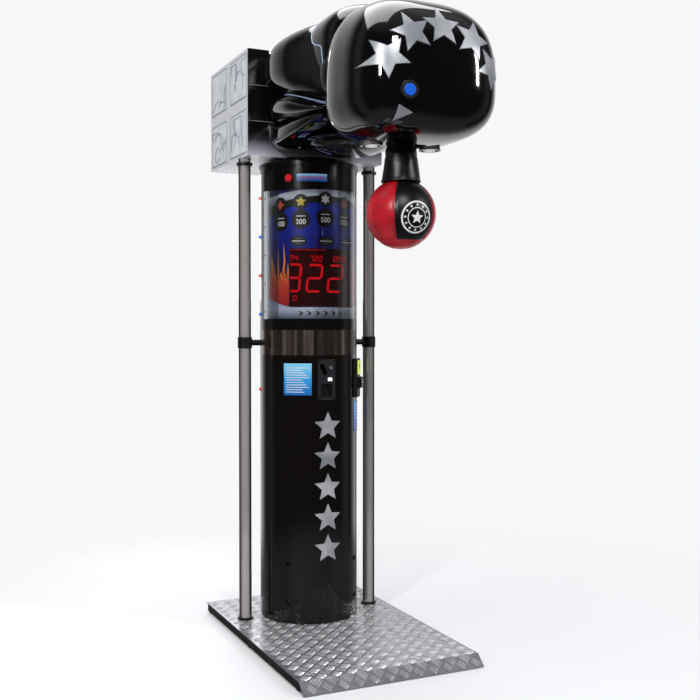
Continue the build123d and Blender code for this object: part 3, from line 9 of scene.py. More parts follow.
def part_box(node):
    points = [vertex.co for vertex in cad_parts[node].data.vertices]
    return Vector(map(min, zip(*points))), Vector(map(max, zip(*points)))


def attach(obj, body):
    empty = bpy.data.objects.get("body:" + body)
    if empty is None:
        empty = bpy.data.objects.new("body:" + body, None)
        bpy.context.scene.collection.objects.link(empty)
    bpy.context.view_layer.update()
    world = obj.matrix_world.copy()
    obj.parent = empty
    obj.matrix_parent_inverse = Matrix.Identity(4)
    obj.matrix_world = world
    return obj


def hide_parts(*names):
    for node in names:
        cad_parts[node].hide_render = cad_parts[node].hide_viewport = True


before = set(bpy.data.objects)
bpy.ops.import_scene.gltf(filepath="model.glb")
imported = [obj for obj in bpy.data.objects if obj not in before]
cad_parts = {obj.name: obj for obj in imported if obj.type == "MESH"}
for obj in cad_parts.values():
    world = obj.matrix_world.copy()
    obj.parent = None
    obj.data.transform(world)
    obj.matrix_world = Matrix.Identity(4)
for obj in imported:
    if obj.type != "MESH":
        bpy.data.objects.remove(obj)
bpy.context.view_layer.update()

print("frame loaded")


# small helpers
def hexToLinear(code):
    channels = [int(code[i:i + 2], 16) / 255 for i in (0, 2, 4)]
    linear = [c / 12.92 if c <= 0.04045 else ((c + 0.055) / 1.055) ** 2.4 for c in channels]
    return (*linear, 1.0)


def addNode(tree, kind, values=None, links=None, **settings):
    node = tree.nodes.new(kind)
    for key, value in settings.items():
        setattr(node, key, value)
    for key, value in (values or {}).items():
        node.inputs[key].default_value = value
    for key, source in (links or {}).items():
        tree.links.new(source, node.inputs[key])
    return node


def newFinish(name, colour, metallic=0.0, roughness=0.5, **more):
    material = bpy.data.materials.new(name)
    material.use_nodes = True
    tree = material.node_tree
    shader = tree.nodes["Principled BSDF"]
    shader.inputs["Base Color"].default_value = hexToLinear(colour)
    shader.inputs["Metallic"].default_value = metallic
    shader.inputs["Roughness"].default_value = roughness
    for key, value in more.items():
        shader.inputs[key.replace("_", " ")].default_value = value
    return material, tree, shader


def placeNoise(tree, perMetre, detail=3.0, stretch=(1, 1, 1)):
    spot = addNode(tree, "ShaderNodeTexCoord")
    mapping = addNode(tree, "ShaderNodeMapping", {"Scale": stretch}, {"Vector": spot.outputs["Object"]})
    return addNode(tree, "ShaderNodeTexNoise", {"Scale": perMetre, "Detail": detail},
                   {"Vector": mapping.outputs["Vector"]})


def addRamp(tree, source, stops):
    ramp = addNode(tree, "ShaderNodeValToRGB", links={"Fac": source})
    ends = ramp.color_ramp.elements
    for index, (place, colour) in enumerate(stops):
        stop = ends[index] if index < 2 else ends.new(place)
        stop.position = place
        stop.color = colour
    return ramp


def addBump(tree, shader, height, strength, distance):
    bump = addNode(tree, "ShaderNodeBump", {"Strength": strength, "Distance": distance}, {"Height": height})
    tree.links.new(bump.outputs["Normal"], shader.inputs["Normal"])
    return bump


def greyRange(low, high):
    return [(0.3, (low, low, low, 1)), (0.7, (high, high, high, 1))]


def cadObject(node):
    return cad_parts[node]


def dress(node, material):
    data = cadObject(node).data
    data.materials.clear()
    data.materials.append(material)


def place(obj, body, slotName, *replaced):
    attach(obj, body)
    if replaced:
        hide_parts(*replaced)
    return obj


def meshObject(name, data, material, sharpAngle=35):
    data.materials.clear()
    data.materials.append(material)
    for face in data.polygons:
        face.use_smooth = True
    data.set_sharp_from_angle(angle=math.radians(sharpAngle))
    obj = bpy.data.objects.new(name, data)
    bpy.context.collection.objects.link(obj)
    return obj


def fromFaces(name, points, faces, material, sharpAngle=35):
    data = bpy.data.meshes.new(name)
    data.from_pydata([tuple(p) for p in points], [], faces)
    solid = bmesh.new()
    solid.from_mesh(data)
    bmesh.ops.remove_doubles(solid, verts=solid.verts, dist=1e-6)
    bmesh.ops.recalc_face_normals(solid, faces=solid.faces)
    solid.to_mesh(data)
    solid.free()
    return meshObject(name, data, material, sharpAngle)


def bakeModifiers(obj):
    bpy.context.view_layer.update()
    graph = bpy.context.evaluated_depsgraph_get()
    data = bpy.data.meshes.new_from_object(obj.evaluated_get(graph))
    obj.modifiers.clear()
    obj.data = data
    return obj


def flatOutline(outlines, stepX=0.008, stepY=0.0):
    drawing = bpy.data.curves.new("outline", "CURVE")
    drawing.dimensions = "2D"
    drawing.fill_mode = "BOTH"
    for outline in outlines:
        spline = drawing.splines.new("POLY")
        spline.points.add(len(outline) - 1)
        for point, (x, y) in zip(spline.points, outline):
            point.co = (x, y, 0, 1)
        spline.use_cyclic_u = True
    return filledSheet(drawing, stepX, stepY)


def filledSheet(drawing, stepX, stepY):
    holder = bpy.data.objects.new("outline", drawing)
    data = bpy.data.meshes.new_from_object(holder)
    sheet = bmesh.new()
    sheet.from_mesh(data)
    bpy.data.objects.remove(holder)
    bpy.data.meshes.remove(data)
    for axis, step in ((0, stepX), (1, stepY)):
        if not step or not sheet.verts:
            continue
        values = [v.co[axis] for v in sheet.verts]
        normal = (1, 0, 0) if axis == 0 else (0, 1, 0)
        at = math.floor(min(values) / step) * step + step
        while at < max(values):
            centre = tuple(at * n for n in normal)
            geometry = sheet.verts[:] + sheet.edges[:] + sheet.faces[:]
            bmesh.ops.bisect_plane(sheet, geom=geometry, plane_co=centre, plane_no=normal)
            at += step
    return sheet


def wrapSheet(name, sheet, surface, material, sharpAngle=30):
    bmesh.ops.remove_doubles(sheet, verts=sheet.verts, dist=1e-6)
    grown = bmesh.ops.extrude_face_region(sheet, geom=sheet.faces[:], use_keep_orig=True)
    for vert in grown["geom"]:
        if isinstance(vert, bmesh.types.BMVert):
            vert.co.z = 1.0
    for vert in sheet.verts:
        vert.co = surface(vert.co.x, vert.co.y, vert.co.z)
    bmesh.ops.recalc_face_normals(sheet, faces=sheet.faces)
    data = bpy.data.meshes.new(name)
    sheet.to_mesh(data)
    sheet.free()
    return meshObject(name, data, material, sharpAngle)


def numberSheet(text, size, stepX=0.008):
    drawing = bpy.data.curves.new("digits", "FONT")
    drawing.body = text
    drawing.size = size
    drawing.align_x = "CENTER"
    drawing.align_y = "CENTER"
    drawing.offset = size * 0.02  # a bolder stroke
    return filledSheet(drawing, stepX, 0)


def circleOutline(x, y, radiusX, radiusY=None, count=40):
    radiusY = radiusY or radiusX
    turns = [2 * math.pi * i / count for i in range(count)]
    return [(x + radiusX * math.cos(t), y + radiusY * math.sin(t)) for t in turns]


def boxOutline(x0, x1, y0, y1):
    return [(x0, y0), (x1, y0), (x1, y1), (x0, y1)]


def starOutline(x, y, outer, waist, lean=0.0, count=5):
    outline = []
    for i in range(count * 2):
        reach = outer if i % 2 == 0 else outer * waist
        turn = math.pi / 2 + math.pi * i / count + lean
        outline.append((x + reach * math.cos(turn), y + reach * math.sin(turn)))
    return outline


def tube(name, points, radius, material, closed=False, smooth=True):
    drawing = bpy.data.curves.new(name, "CURVE")
    drawing.dimensions = "3D"
    drawing.bevel_depth = radius
    drawing.bevel_resolution = 3
    drawing.resolution_u = 6
    spline = drawing.splines.new("NURBS" if smooth else "POLY")
    spline.points.add(len(points) - 1)
    for point, spot in zip(spline.points, points):
        point.co = (*spot, 1)
    spline.use_cyclic_u = closed
    if smooth:
        spline.order_u = 3
        spline.use_endpoint_u = not closed
    holder = bpy.data.objects.new(name, drawing)
    data = bpy.data.meshes.new_from_object(holder)
    bpy.data.objects.remove(holder)
    return meshObject(name, data, material, 60)


# finishes
# bare chequer plate: bright, softly worn, with a darker copy as painted shade in the hollows
def rolledAluminium(name="rolledAluminium", dark="b4b7bb", light="eceded", dull=0.3, keen=0.16):
    material, tree, shader = newFinish(name, "c3c6ca", 0.62, 0.3)
    wear = placeNoise(tree, 1 / 0.035, 6)  # scuffs about 35 mm apart
    tone = addRamp(tree, wear.outputs["Fac"], [(0.3, hexToLinear(dark)), (0.7, hexToLinear(light))])
    tree.links.new(tone.outputs["Color"], shader.inputs["Base Color"])
    gloss = addRamp(tree, wear.outputs["Fac"], greyRange(dull, keen))
    tree.links.new(gloss.outputs["Color"], shader.inputs["Roughness"])
    grain = placeNoise(tree, 1 / 0.0015, 2, (1, 6, 1))
    addBump(tree, shader, grain.outputs["Fac"], 0.05, 0.0002)
    return material


def powderCoat(name, colour, roughness=0.42):  # baked powder: even colour with a fine orange peel
    material, tree, shader = newFinish(name, colour, 0.0, roughness, IOR=1.5)
    peel = placeNoise(tree, 1 / 0.0025, 2)
    addBump(tree, shader, peel.outputs["Fac"], 0.15, 0.0004)
    smudge = placeNoise(tree, 1 / 0.12, 3)
    gloss = addRamp(tree, smudge.outputs["Fac"], greyRange(roughness * 0.85, roughness * 1.15))
    tree.links.new(gloss.outputs["Color"], shader.inputs["Roughness"])
    return material


def glossEnamel(name, colour, roughness=0.1):  # sprayed enamel: deep, with long soft reflections
    material, tree, shader = newFinish(name, colour, 0.0, roughness, IOR=1.52)
    shader.inputs["Coat Weight"].default_value = 0.6
    shader.inputs["Coat Roughness"].default_value = 0.04
    smudge = placeNoise(tree, 1 / 0.09, 4)
    gloss = addRamp(tree, smudge.outputs["Fac"], greyRange(roughness * 0.8, roughness * 1.5))
    tree.links.new(gloss.outputs["Color"], shader.inputs["Roughness"])
    peel = placeNoise(tree, 1 / 0.006, 1)
    addBump(tree, shader, peel.outputs["Fac"], 0.02, 0.0004)
    return material


# glass fibre in a black gel coat: wet gloss over a slightly wavy mould
def mouldedGelcoat(name="mouldedGelcoat"):
    material, tree, shader = newFinish(name, "050506", 0.0, 0.06, IOR=1.54)
    shader.inputs["Coat Weight"].default_value = 0.5
    shader.inputs["Coat Roughness"].default_value = 0.03
    waves = placeNoise(tree, 1 / 0.07, 1)  # print-through of the mould, about 70 mm across
    addBump(tree, shader, waves.outputs["Fac"], 0.1, 0.002)
    dust = placeNoise(tree, 1 / 0.05, 5)
    gloss = addRamp(tree, dust.outputs["Fac"], greyRange(0.04, 0.1))
    tree.links.new(gloss.outputs["Color"], shader.inputs["Roughness"])
    return material


def polishedSteel(name, colour, roughness):  # ground and polished steel: sharp reflections, slightly hazed
    material, tree, shader = newFinish(name, colour, 1.0, roughness)
    haze = placeNoise(tree, 1 / 0.05, 3)
    gloss = addRamp(tree, haze.outputs["Fac"], greyRange(roughness * 0.7, roughness * 1.4))
    tree.links.new(gloss.outputs["Color"], shader.inputs["Roughness"])
    return material


def chromedSteel(name):  # chromed tube: a painted reflection in the base colour, a pale band down the middle, dark where the wall turns away
    material, tree, shader = newFinish(name, "bfbab9", 0.7, 0.09)
    # painted reflection: the base colour follows the facing angle
    turn = addNode(tree, "ShaderNodeLayerWeight", {"Blend": 0.5})
    tone = addRamp(tree, turn.outputs["Facing"], [(0.0, hexToLinear("f4efec")), (0.22, hexToLinear("d2cbc8")),
                                                  (0.4, hexToLinear("5c5654")),
                                                  (0.62, hexToLinear("141213"))])
    tree.links.new(tone.outputs["Color"], shader.inputs["Base Color"])
    return material


def paintedReflectionSteel(name):  # mirror band: warm upright streaks in the base colour, a painted reflection of a dim hall
    material, tree, shader = newFinish(name, "6e625c", 0.75, 0.16)
    # painted reflection: upright light and dark streaks in the base colour
    reflectionStreak = placeNoise(tree, 1 / 0.045, 3, (1, 1, 0.02))
    tone = addRamp(tree, reflectionStreak.outputs["Fac"], [(0.35, hexToLinear("1c1818")), (0.52, hexToLinear("5d504a")),
                                                 (0.66, hexToLinear("b5a79c"))])
    tree.links.new(tone.outputs["Color"], shader.inputs["Base Color"])
    return material


# brushed sheet: soft silver with a light and dark drift
def brushedAluminium(name, dark="8b8d91", light="d5d6d9"):
    material, tree, shader = newFinish(name, light, 0.9, 0.34)
    drift = placeNoise(tree, 1 / 0.11, 2)
    tone = addRamp(tree, drift.outputs["Fac"], [(0.35, hexToLinear(dark)), (0.65, hexToLinear(light))])
    tree.links.new(tone.outputs["Color"], shader.inputs["Base Color"])
    brush = placeNoise(tree, 1 / 0.0012, 1, (1, 1, 12))
    addBump(tree, shader, brush.outputs["Fac"], 0.08, 0.0002)
    return material


# coated leather: pebble grain and darker hollows
def grainedLeather(name, colour, deep, roughness, grain=0.0022):
    material, tree, shader = newFinish(name, colour, 0.0, roughness, IOR=1.48)
    spot = addNode(tree, "ShaderNodeTexCoord")
    pebble = addNode(tree, "ShaderNodeTexVoronoi", {"Scale": 1 / grain}, {"Vector": spot.outputs["Object"]})
    cloud = placeNoise(tree, 1 / 0.05, 4)
    tone = addRamp(tree, cloud.outputs["Fac"], [(0.3, hexToLinear(deep)), (0.62, hexToLinear(colour))])
    tree.links.new(tone.outputs["Color"], shader.inputs["Base Color"])
    gloss = addRamp(tree, cloud.outputs["Fac"], greyRange(roughness * 1.25, roughness * 0.8))
    tree.links.new(gloss.outputs["Color"], shader.inputs["Roughness"])
    addBump(tree, shader, pebble.outputs["Distance"], 0.22, 0.0005)
    return material


# screen-printed film: flat ink, slight drift
def printedVinyl(name, colour, roughness=0.3, edge=None, dotSize=0.03):
    material, tree, shader = newFinish(name, colour, 0.0, roughness, IOR=1.46)
    cloud = placeNoise(tree, 1 / dotSize, 2)
    other = hexToLinear(edge or colour)
    tone = addRamp(tree, cloud.outputs["Fac"], [(0.35, other), (0.65, hexToLinear(colour))])
    tree.links.new(tone.outputs["Color"], shader.inputs["Base Color"])
    return material


# ink that fades from one height to another
def heightPrint(name, low, high, stops, roughness=0.3, metallic=0.0):
    material, tree, shader = newFinish(name, stops[0][1], metallic, roughness, IOR=1.46)
    spot = addNode(tree, "ShaderNodeTexCoord")
    split = addNode(tree, "ShaderNodeSeparateXYZ", links={"Vector": spot.outputs["Object"]})
    span = addNode(tree, "ShaderNodeMapRange", {"From Min": low, "From Max": high},
                   {"Value": split.outputs["Z"]})
    tone = addRamp(tree, span.outputs["Result"], [(at, hexToLinear(colour)) for at, colour in stops])
    tree.links.new(tone.outputs["Color"], shader.inputs["Base Color"])
    return material


def litPlastic(name, colour, strength, roughness=0.25):  # translucent cap with a lamp behind it; the same glow also paints the pale reflections in the glove's creases
    material, tree, shader = newFinish(name, colour, 0.0, roughness, IOR=1.49)
    cloud = placeNoise(tree, 1 / 0.012, 1)
    dim = tuple(c * 0.7 for c in hexToLinear(colour)[:3]) + (1,)
    tone = addRamp(tree, cloud.outputs["Fac"], [(0.3, dim), (0.6, hexToLinear(colour))])
    tree.links.new(tone.outputs["Color"], shader.inputs["Base Color"])
    shader.inputs["Emission Color"].default_value = hexToLinear(colour)
    shader.inputs["Emission Strength"].default_value = strength
    return material


def clearPolycarbonate(name="clearPolycarbonate"):  # clear sheet: only its surface gloss shows
    material, tree, shader = newFinish(name, "ffffff", 1.0, 0.04)
    gloss = addNode(tree, "ShaderNodeFresnel", {"IOR": 1.58})
    faint = addNode(tree, "ShaderNodeMath", {1: 0.8}, {0: gloss.outputs["Fac"]}, operation="MULTIPLY")
    tree.links.new(faint.outputs["Value"], shader.inputs["Alpha"])
    return material


def smokedAcrylic(name="smokedAcrylic"):  # red-tinted window: dark, the lamps behind it show through
    material, tree, shader = newFinish(name, "3c0509", 0.0, 0.12, IOR=1.49)
    shader.inputs["Alpha"].default_value = 0.5
    haze = placeNoise(tree, 1 / 0.08, 2)
    tone = addRamp(tree, haze.outputs["Fac"], [(0.3, hexToLinear("38050a")), (0.7, hexToLinear("50080e"))])
    tree.links.new(tone.outputs["Color"], shader.inputs["Base Color"])
    return material


finish = {
    "tread": rolledAluminium(),
    # darker copy for the plate between the bars: painted shade in the hollows
    "treadPaintedShade": rolledAluminium("treadHollowsPaintedShade", "7f8186", "a6a8ad", 0.3, 0.14),
    "satinBlack": powderCoat("powderCoatBlack", "0b0b0c"),
    "rubber": powderCoat("mouldedRubber", "0d0d0d", 0.7),
    "primer": powderCoat("primedSteel", "5b5e62", 0.55),
    "column": glossEnamel("glossEnamelColumn", "0d0908"),
    "header": glossEnamel("glossEnamelHeader", "070606", 0.14),
    "mirror": paintedReflectionSteel("mirrorStainless"),
    "chrome": chromedSteel("chromedTubePaintedReflection"),
    "darkChrome": polishedSteel("darkChrome", "2d2d30", 0.12),
    "glove": mouldedGelcoat(),
    "silver": brushedAluminium("brushedSilver"),
    "whitePaint": powderCoat("paleSilverPaint", "c9cbd2", 0.3),
    "whiteFilm": printedVinyl("paleFilm", "d6d8df", 0.25, "bfc2cb", 0.09),
    "inkBlack": printedVinyl("inkBlack", "0a0a0c", 0.4),
    "inkGrey": printedVinyl("inkGrey", "70737c", 0.4),
    "clear": clearPolycarbonate(),
    "smoked": smokedAcrylic(),
    "board": powderCoat("coatedCircuitBoard", "0c2a14", 0.5),
    "digitBlock": powderCoat("digitBlock", "120203", 0.5),
    "plastic": powderCoat("mouldedAbs", "0c0c0d", 0.38),
    "coinPlate": powderCoat("texturedCoinPlate", "222327", 0.36),
    "alloy": brushedAluminium("millAlloy", "8d9094", "b9bbbe"),
    "bearing": polishedSteel("groundBearingSteel", "a9abae", 0.18),
    "redCap": litPlastic("redAcrylicCap", "b80a14", 0.5),
    "blueCap": litPlastic("blueAcrylicCap", "0a4fb4", 0.4),
    "redLamp": litPlastic("redLampLens", "e01828", 0.9),
    "blueLamp": litPlastic("blueLampLens", "1464f0", 1.2),
    "whiteLamp": litPlastic("whiteLampLens", "e9eef2", 0.6),
    "limeLamp": litPlastic("limeLampLens", "c9d94a", 0.7),
    # glowing pale blue line: a painted reflection along the glove's creases, no lamp
    "paintedReflectionLine": litPlastic("paleBluePaintedReflection", "8fa6c6", 0.35),
    "digitLit": litPlastic("litSegment", "e4101c", 2.4),
    "digitDark": printedVinyl("darkSegment", "2a0509", 0.4),
    "redLeather": grainedLeather("redLeather", "bd1424", "960c1a", 0.32),
    "blackLeather": grainedLeather("blackLeather", "0d0d0e", "060607", 0.34),
    "thread": printedVinyl("waxedThread", "1a0b0c", 0.6),
    "whiteInk": printedVinyl("whiteInk", "d9dadc", 0.4),
    "edgeStrip": powderCoat("paleEdgeStrip", "c9ccd2", 0.22),
}
print("finishes made")

for node, key in {
    "base_frame": "satinBlack", "levelling_feet": "rubber", "tread_plate": "treadPaintedShade",
    "column_foot": "primer", "column_shell": "column", "column_core": "primer",
    "mirror_band": "mirror", "black_bands": "header", "column_cap": "header",
    "display_window": "smoked", "display_cover": "clear", "cover_strips": "edgeStrip",
    "display_back_skin": "column", "circuit_boards": "board", "digit_modules": "digitBlock",
    "board_carriers": "primer", "select_button": "redCap", "coin_plate": "coinPlate",
    "reject_button": "silver", "return_flap": "plastic", "bill_acceptor": "plastic",
    "payment_units": "plastic", "fasteners": "darkChrome", "service_door": "column",
    "door_hinges": "satinBlack", "door_lock": "bearing", "power_inlet": "plastic",
    "cash_box": "primer", "power_supply": "alloy", "side_tubes": "chrome",
    "tube_fittings": "satinBlack", "head_box": "whitePaint", "head_front_plate": "header",
    "head_rear_cover": "whitePaint", "head_frame": "primer", "button_bezels": "plastic",
    "start_button": "blueCap", "button_switches": "plastic", "spotlight_rings": "chrome",
    "spotlight_lamps": "whiteLamp", "pivot_bracket": "primer", "pivot_bearings": "bearing",
    "pivot_shaft": "bearing", "swing_arm": "satinBlack", "ball_core": "rubber",
    "swing_stops": "rubber", "encoder_disc": "alloy", "swing_sensor": "plastic",
}.items():
    dress(node, finish[key])

# places read from the frame
shellLow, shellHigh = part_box("column_shell")
columnY = (shellLow[1] + shellHigh[1]) / 2
columnRadius = (shellHigh[0] - shellLow[0]) / 2
artLow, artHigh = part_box("artwork_panel")
windowLow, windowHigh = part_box("display_window")
plateLow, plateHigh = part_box("tread_plate")
fistLow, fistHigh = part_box("fist_shell")
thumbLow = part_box("thumb_shell")[0]
headLow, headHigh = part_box("head_box")
ballLow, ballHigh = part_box("ball_leather")
shaftLow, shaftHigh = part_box("pivot_shaft")
sleeveLow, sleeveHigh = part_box("ball_sleeve")
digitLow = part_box("digit_modules")[0]
panelLow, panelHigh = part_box("side_panels")
pivotY = (shaftLow[1] + shaftHigh[1]) / 2


def onColumn(angle, z, radius):
    turn = math.radians(angle)
    return Vector((radius * math.sin(turn), columnY - radius * math.cos(turn), z))


def columnFrame(angle, z, radius):
    turn = math.radians(angle)
    across = Vector((math.cos(turn), math.sin(turn), 0))
    outward = Vector((math.sin(turn), -math.cos(turn), 0))
    spot = onColumn(angle, z, radius)
    return Matrix(((across.x, 0, outward.x, spot.x), (across.y, 0, outward.y, spot.y),
                   (0, 1, 0, spot.z), (0, 0, 0, 1)))


# the deck: five raised bars to a cell, cells set cornerwise and turned a right angle from one to the next
deck = {"cell": 0.0410, "bars": 5, "barLength": 0.0360, "barWidth": 0.0046, "barGap": 0.0074,
        "barHeight": 0.0016, "margin": 0.003,
        "nose": 0.041, "sections": 6}


def treadBars():
    nose, flatTop = deck["nose"], plateHigh[2]
    noseLength = math.hypot(nose, plateHigh[2] - plateLow[2])
    flatFront = plateLow[1] + nose
    tilt = math.atan2(plateHigh[2] - plateLow[2], nose)
    points, faces = [], []

    def onDeck(x, v, lift):
        if v >= flatFront:
            return (x, v, flatTop + lift)
        run = flatFront - v
        return (x, flatFront - run * math.cos(tilt) - lift * math.sin(tilt),
                flatTop - run * math.sin(tilt) + lift * math.cos(tilt))

    lowX, highX = plateLow[0] + deck["margin"], plateHigh[0] - deck["margin"]
    lowV, highV = flatFront - noseLength + deck["margin"], plateHigh[1] - deck["margin"]
    step = deck["cell"] / math.sqrt(2)
    count = int(1.4 / step)
    for i in range(-count, count + 1):
        for j in range(-count, count + 1):
            centreX, centreV = (i + j) * step, (i - j) * step
            if not (lowX < centreX < highX and lowV < centreV < highV):
                continue
            turn = math.pi / 4 + math.pi / 2 * ((i + j) % 2)
            c, s = math.cos(turn), math.sin(turn)
            for k in range(deck["bars"]):
                side = (k - (deck["bars"] - 1) / 2) * deck["barGap"]
                ends = [(centreX + u * c - side * s, centreV + u * s + side * c)
                        for u in (-deck["barLength"] / 2, deck["barLength"] / 2)]
                if not all(lowX < x < highX and lowV < v < highV for x, v in ends):
                    continue
                addBar(points, faces, centreX, centreV, c, s, side, onDeck)
    bars = fromFaces("treadBars", points, faces, finish["tread"], 50)
    place(bars, "machine", "bare_aluminium")


def addBar(points, faces, centreX, centreV, c, s, side, onDeck):
    base = len(points)
    for m in range(deck["sections"] + 1):
        share = 2 * m / deck["sections"] - 1
        u = share * deck["barLength"] / 2
        swell = max(1 - share ** 4, 0.0) ** 0.5
        half = deck["barWidth"] / 2 * max(swell, 0.12)
        for w, lift in ((-half, -0.0002), (-half * 0.45, deck["barHeight"] * swell),
                        (half * 0.45, deck["barHeight"] * swell),
                        (half, -0.0002)):
            v = side + w
            points.append(onDeck(centreX + u * c - v * s, centreV + u * s + v * c, lift))
    for m in range(deck["sections"]):
        a = base + 4 * m
        faces.extend(((a, a + 1, a + 5, a + 4), (a + 1, a + 2, a + 6, a + 5), (a + 2, a + 3, a + 7, a + 6),
                      (a + 3, a, a + 4, a + 7)))
    a = base + 4 * deck["sections"]
    faces.extend(((base + 3, base + 2, base + 1, base), (a, a + 1, a + 2, a + 3)))


treadBars()
print("deck bars made")


# the display's printed art lies between the inner tube and the clear cover
art = {"blue": "0a1c86", "blueDeep": "050c3c", "silver": "a9b2c4"}
artRadius = columnRadius - 0.0032
artBase, artTop = artLow[2], artHigh[2]


def decal(name, outlines, layer, material, stepX=0.008, sheet=None):
    radius = artRadius + 0.00012 * layer

    def surface(x, y, depth):
        return onColumn(math.degrees(x / columnRadius), y, radius + 0.00008 * depth)

    sheet = sheet or flatOutline(outlines, stepX)
    return place(wrapSheet(name, sheet, surface, material), "machine", "blue_print")


def arc(angle):
    return math.radians(angle) * columnRadius


def displayArt():
    edge = arc(78)
    fieldPaint = heightPrint("printedBlueField", artBase, artTop, [
        (0.0, "04092c"), (0.35, art["blueDeep"]), (0.6, art["blue"]), (0.86, "0b2aa8"), (1.0, "070b30")])
    data = cadObject("artwork_panel").data
    data.materials.clear()
    data.materials.append(fieldPaint)
    silverBand = heightPrint("printedSilverArc", artTop - 0.06, artTop,
                             [(0, "5d6678"), (0.5, "c2cad8"), (1, "7f889a")])
    # the silver arc over the top, low at both ends
    count = 28
    upper, lower, darkLower = [], [], []
    for i in range(count + 1):
        x = -edge + 2 * edge * i / count
        rise = 1 - (x / edge) ** 2
        upper.append((x, artTop - 0.001 - 0.030 * (1 - rise)))
        lower.append((x, artTop - 0.026 - 0.050 * (1 - rise)))
        darkLower.append((x, artTop - 0.052 - 0.062 * (1 - rise)))
    decal("silverArc", [upper + lower[::-1]], 1, silverBand)
    decal("darkArc", [lower + darkLower[::-1]], 1, finish["inkBlack"])
    # the silver strip under the window sweeps up at the left and right
    strip = [(-edge, artBase + 0.001)]
    strip += [(edge, artBase + 0.001)]
    sweep = []
    for i in range(count + 1):
        x = edge - 2 * edge * i / count
        lift = max(0, (abs(x) - arc(42)) / (edge - arc(42)))
        sweep.append((x, artBase + 0.046 + 0.04 * lift ** 1.3))
    stripPaint = heightPrint("printedSilverStrip", artBase, artBase + 0.09,
                             [(0, "4d566a"), (0.45, "b9c3d6"), (1, "6c7690")])
    decal("silverStrip", [strip + sweep], 3, stripPaint)
    for i in range(7):  # a row of plain chevrons in place of a title
        x = (i - 3) * 0.034 + arc(-2)
        z = artBase + 0.022
        decal(f"stripChevron{i}", [[(x - 0.011, z - 0.009), (x - 0.002, z - 0.009), (x + 0.011, z),
                                    (x - 0.002, z + 0.009), (x - 0.011, z + 0.009), (x, z)]], 4,
              printedVinyl(f"maroonInk{i}", "3a0a12", 0.4))
    # flames at both sides of the window
    hot = heightPrint("printedFlameEdge", artBase + 0.05, artBase + 0.3,
                      [(0, "c23a22"), (0.45, "ee8b34"), (1, "ffc25a")])
    core = heightPrint("printedFlameCore", artBase + 0.05, artBase + 0.27,
                       [(0, "a8182a"), (0.5, "cf4a30"), (1, "f08a3a")])
    for side in (-1, 1):
        for layer, (shrink, paint) in enumerate(((1.0, hot), (0.80, core))):
            outline = flameOutline(side, shrink)
            decal(f"flames{side}{layer}", [outline], 1 + layer, paint, 0.006)
    # score discs: a lower one with its number and an upper one with a plain sign
    for i, (angle, number, low, high) in enumerate((
            (-57, "100", 0.385, 0.450), (-31.3, "300", 0.392, 0.461),
            (-2.4, "500", 0.400, 0.472), (25.3, "700", 0.394, 0.458))):
        x = arc(angle)
        lowZ, highZ = artBase + low, artBase + high
        decal(f"scoreDisc{i}", [circleOutline(x, lowZ, 0.038)], 2, finish["inkBlack"])
        decal(f"signDisc{i}", [circleOutline(x, highZ, 0.031)], 2, finish["inkBlack"])
        sheet = numberSheet(number, 0.028)
        for vert in sheet.verts:
            vert.co.x += x
            vert.co.y += lowZ - 0.010
        decal(f"scoreNumber{i}", None, 3, finish["whiteInk"], sheet=sheet)
        decal(f"scoreRule{i}", [boxOutline(x - 0.019, x + 0.019, lowZ + 0.011, lowZ + 0.0145)], 3,
              finish["whiteInk"])
        signPaint = printedVinyl(f"signInk{i}", ("b9503c", "d8c24a", "d9dadc", "9a4a32")[i], 0.4)
        decal(f"signStar{i}", [starOutline(x, highZ, 0.021, 0.48 + 0.05 * i, 0, 4 + i)], 3, signPaint)
    for i, angle in enumerate((-34.4, -1.6, 30.2)):
        x, z = arc(angle), artBase + 0.307
        decal(f"ellipse{i}", [circleOutline(x, z, 0.034, 0.020)], 2, finish["inkBlack"])
        decal(f"ellipseRule{i}", [boxOutline(x - 0.026, x + 0.026, z - 0.0018, z + 0.0018)], 3,
              finish["whiteInk"])
        for k, (wide, up) in enumerate(((0.014, 0.009), (0.016, -0.008), (0.005, -0.013))):
            rule = boxOutline(x - wide, x + wide, z + up - 0.001, z + up + 0.001)
            decal(f"ellipseLine{i}{k}", [rule], 3, finish["inkGrey"])


def flameOutline(side, shrink):
    innerX, outerX = arc(45.5), arc(77.5)
    base = artBase + 0.052
    tips = [(0.04, 0.17), (0.16, 0.25), (0.30, 0.15), (0.46, 0.235), (0.60, 0.13), (0.76, 0.22), (0.93, 0.14)]
    outline = [(innerX, base), ]
    for i, (at, rise) in enumerate(tips):
        x = innerX + (outerX - innerX) * at
        width = (outerX - innerX) * 0.075 * shrink
        top = rise * shrink + (0.0 if shrink == 1.0 else 0.012)
        sway = 0.007 * math.sin(i * 2.1)
        valley = 0.075 + 0.02 * math.sin(i * 1.7 + 1)
        outline.append((max(innerX, x - width), base + valley))
        for step in (0.3, 0.55, 0.8):
            bend = sway * math.sin(step * 5)
            outline.append((max(innerX, x - width * (1 - step) + bend),
                            base + valley + (top - valley) * step))
        outline.append((max(innerX, x + sway), base + top))
        for step in (0.8, 0.55, 0.3):
            bend = sway * math.sin(step * 5)
            outline.append((max(innerX, x + width * (1 - step) + bend),
                            base + valley + (top - valley) * step))
        outline.append((x + width, base + valley))
    outline.append((outerX, base + 0.05))
    outline.append((outerX, base))
    cleaned = []
    for point in outline:
        if not cleaned or point[0] > cleaned[-1][0] - 0.004:
            cleaned.append(point)
    return [(side * x, z) for x, z in cleaned]


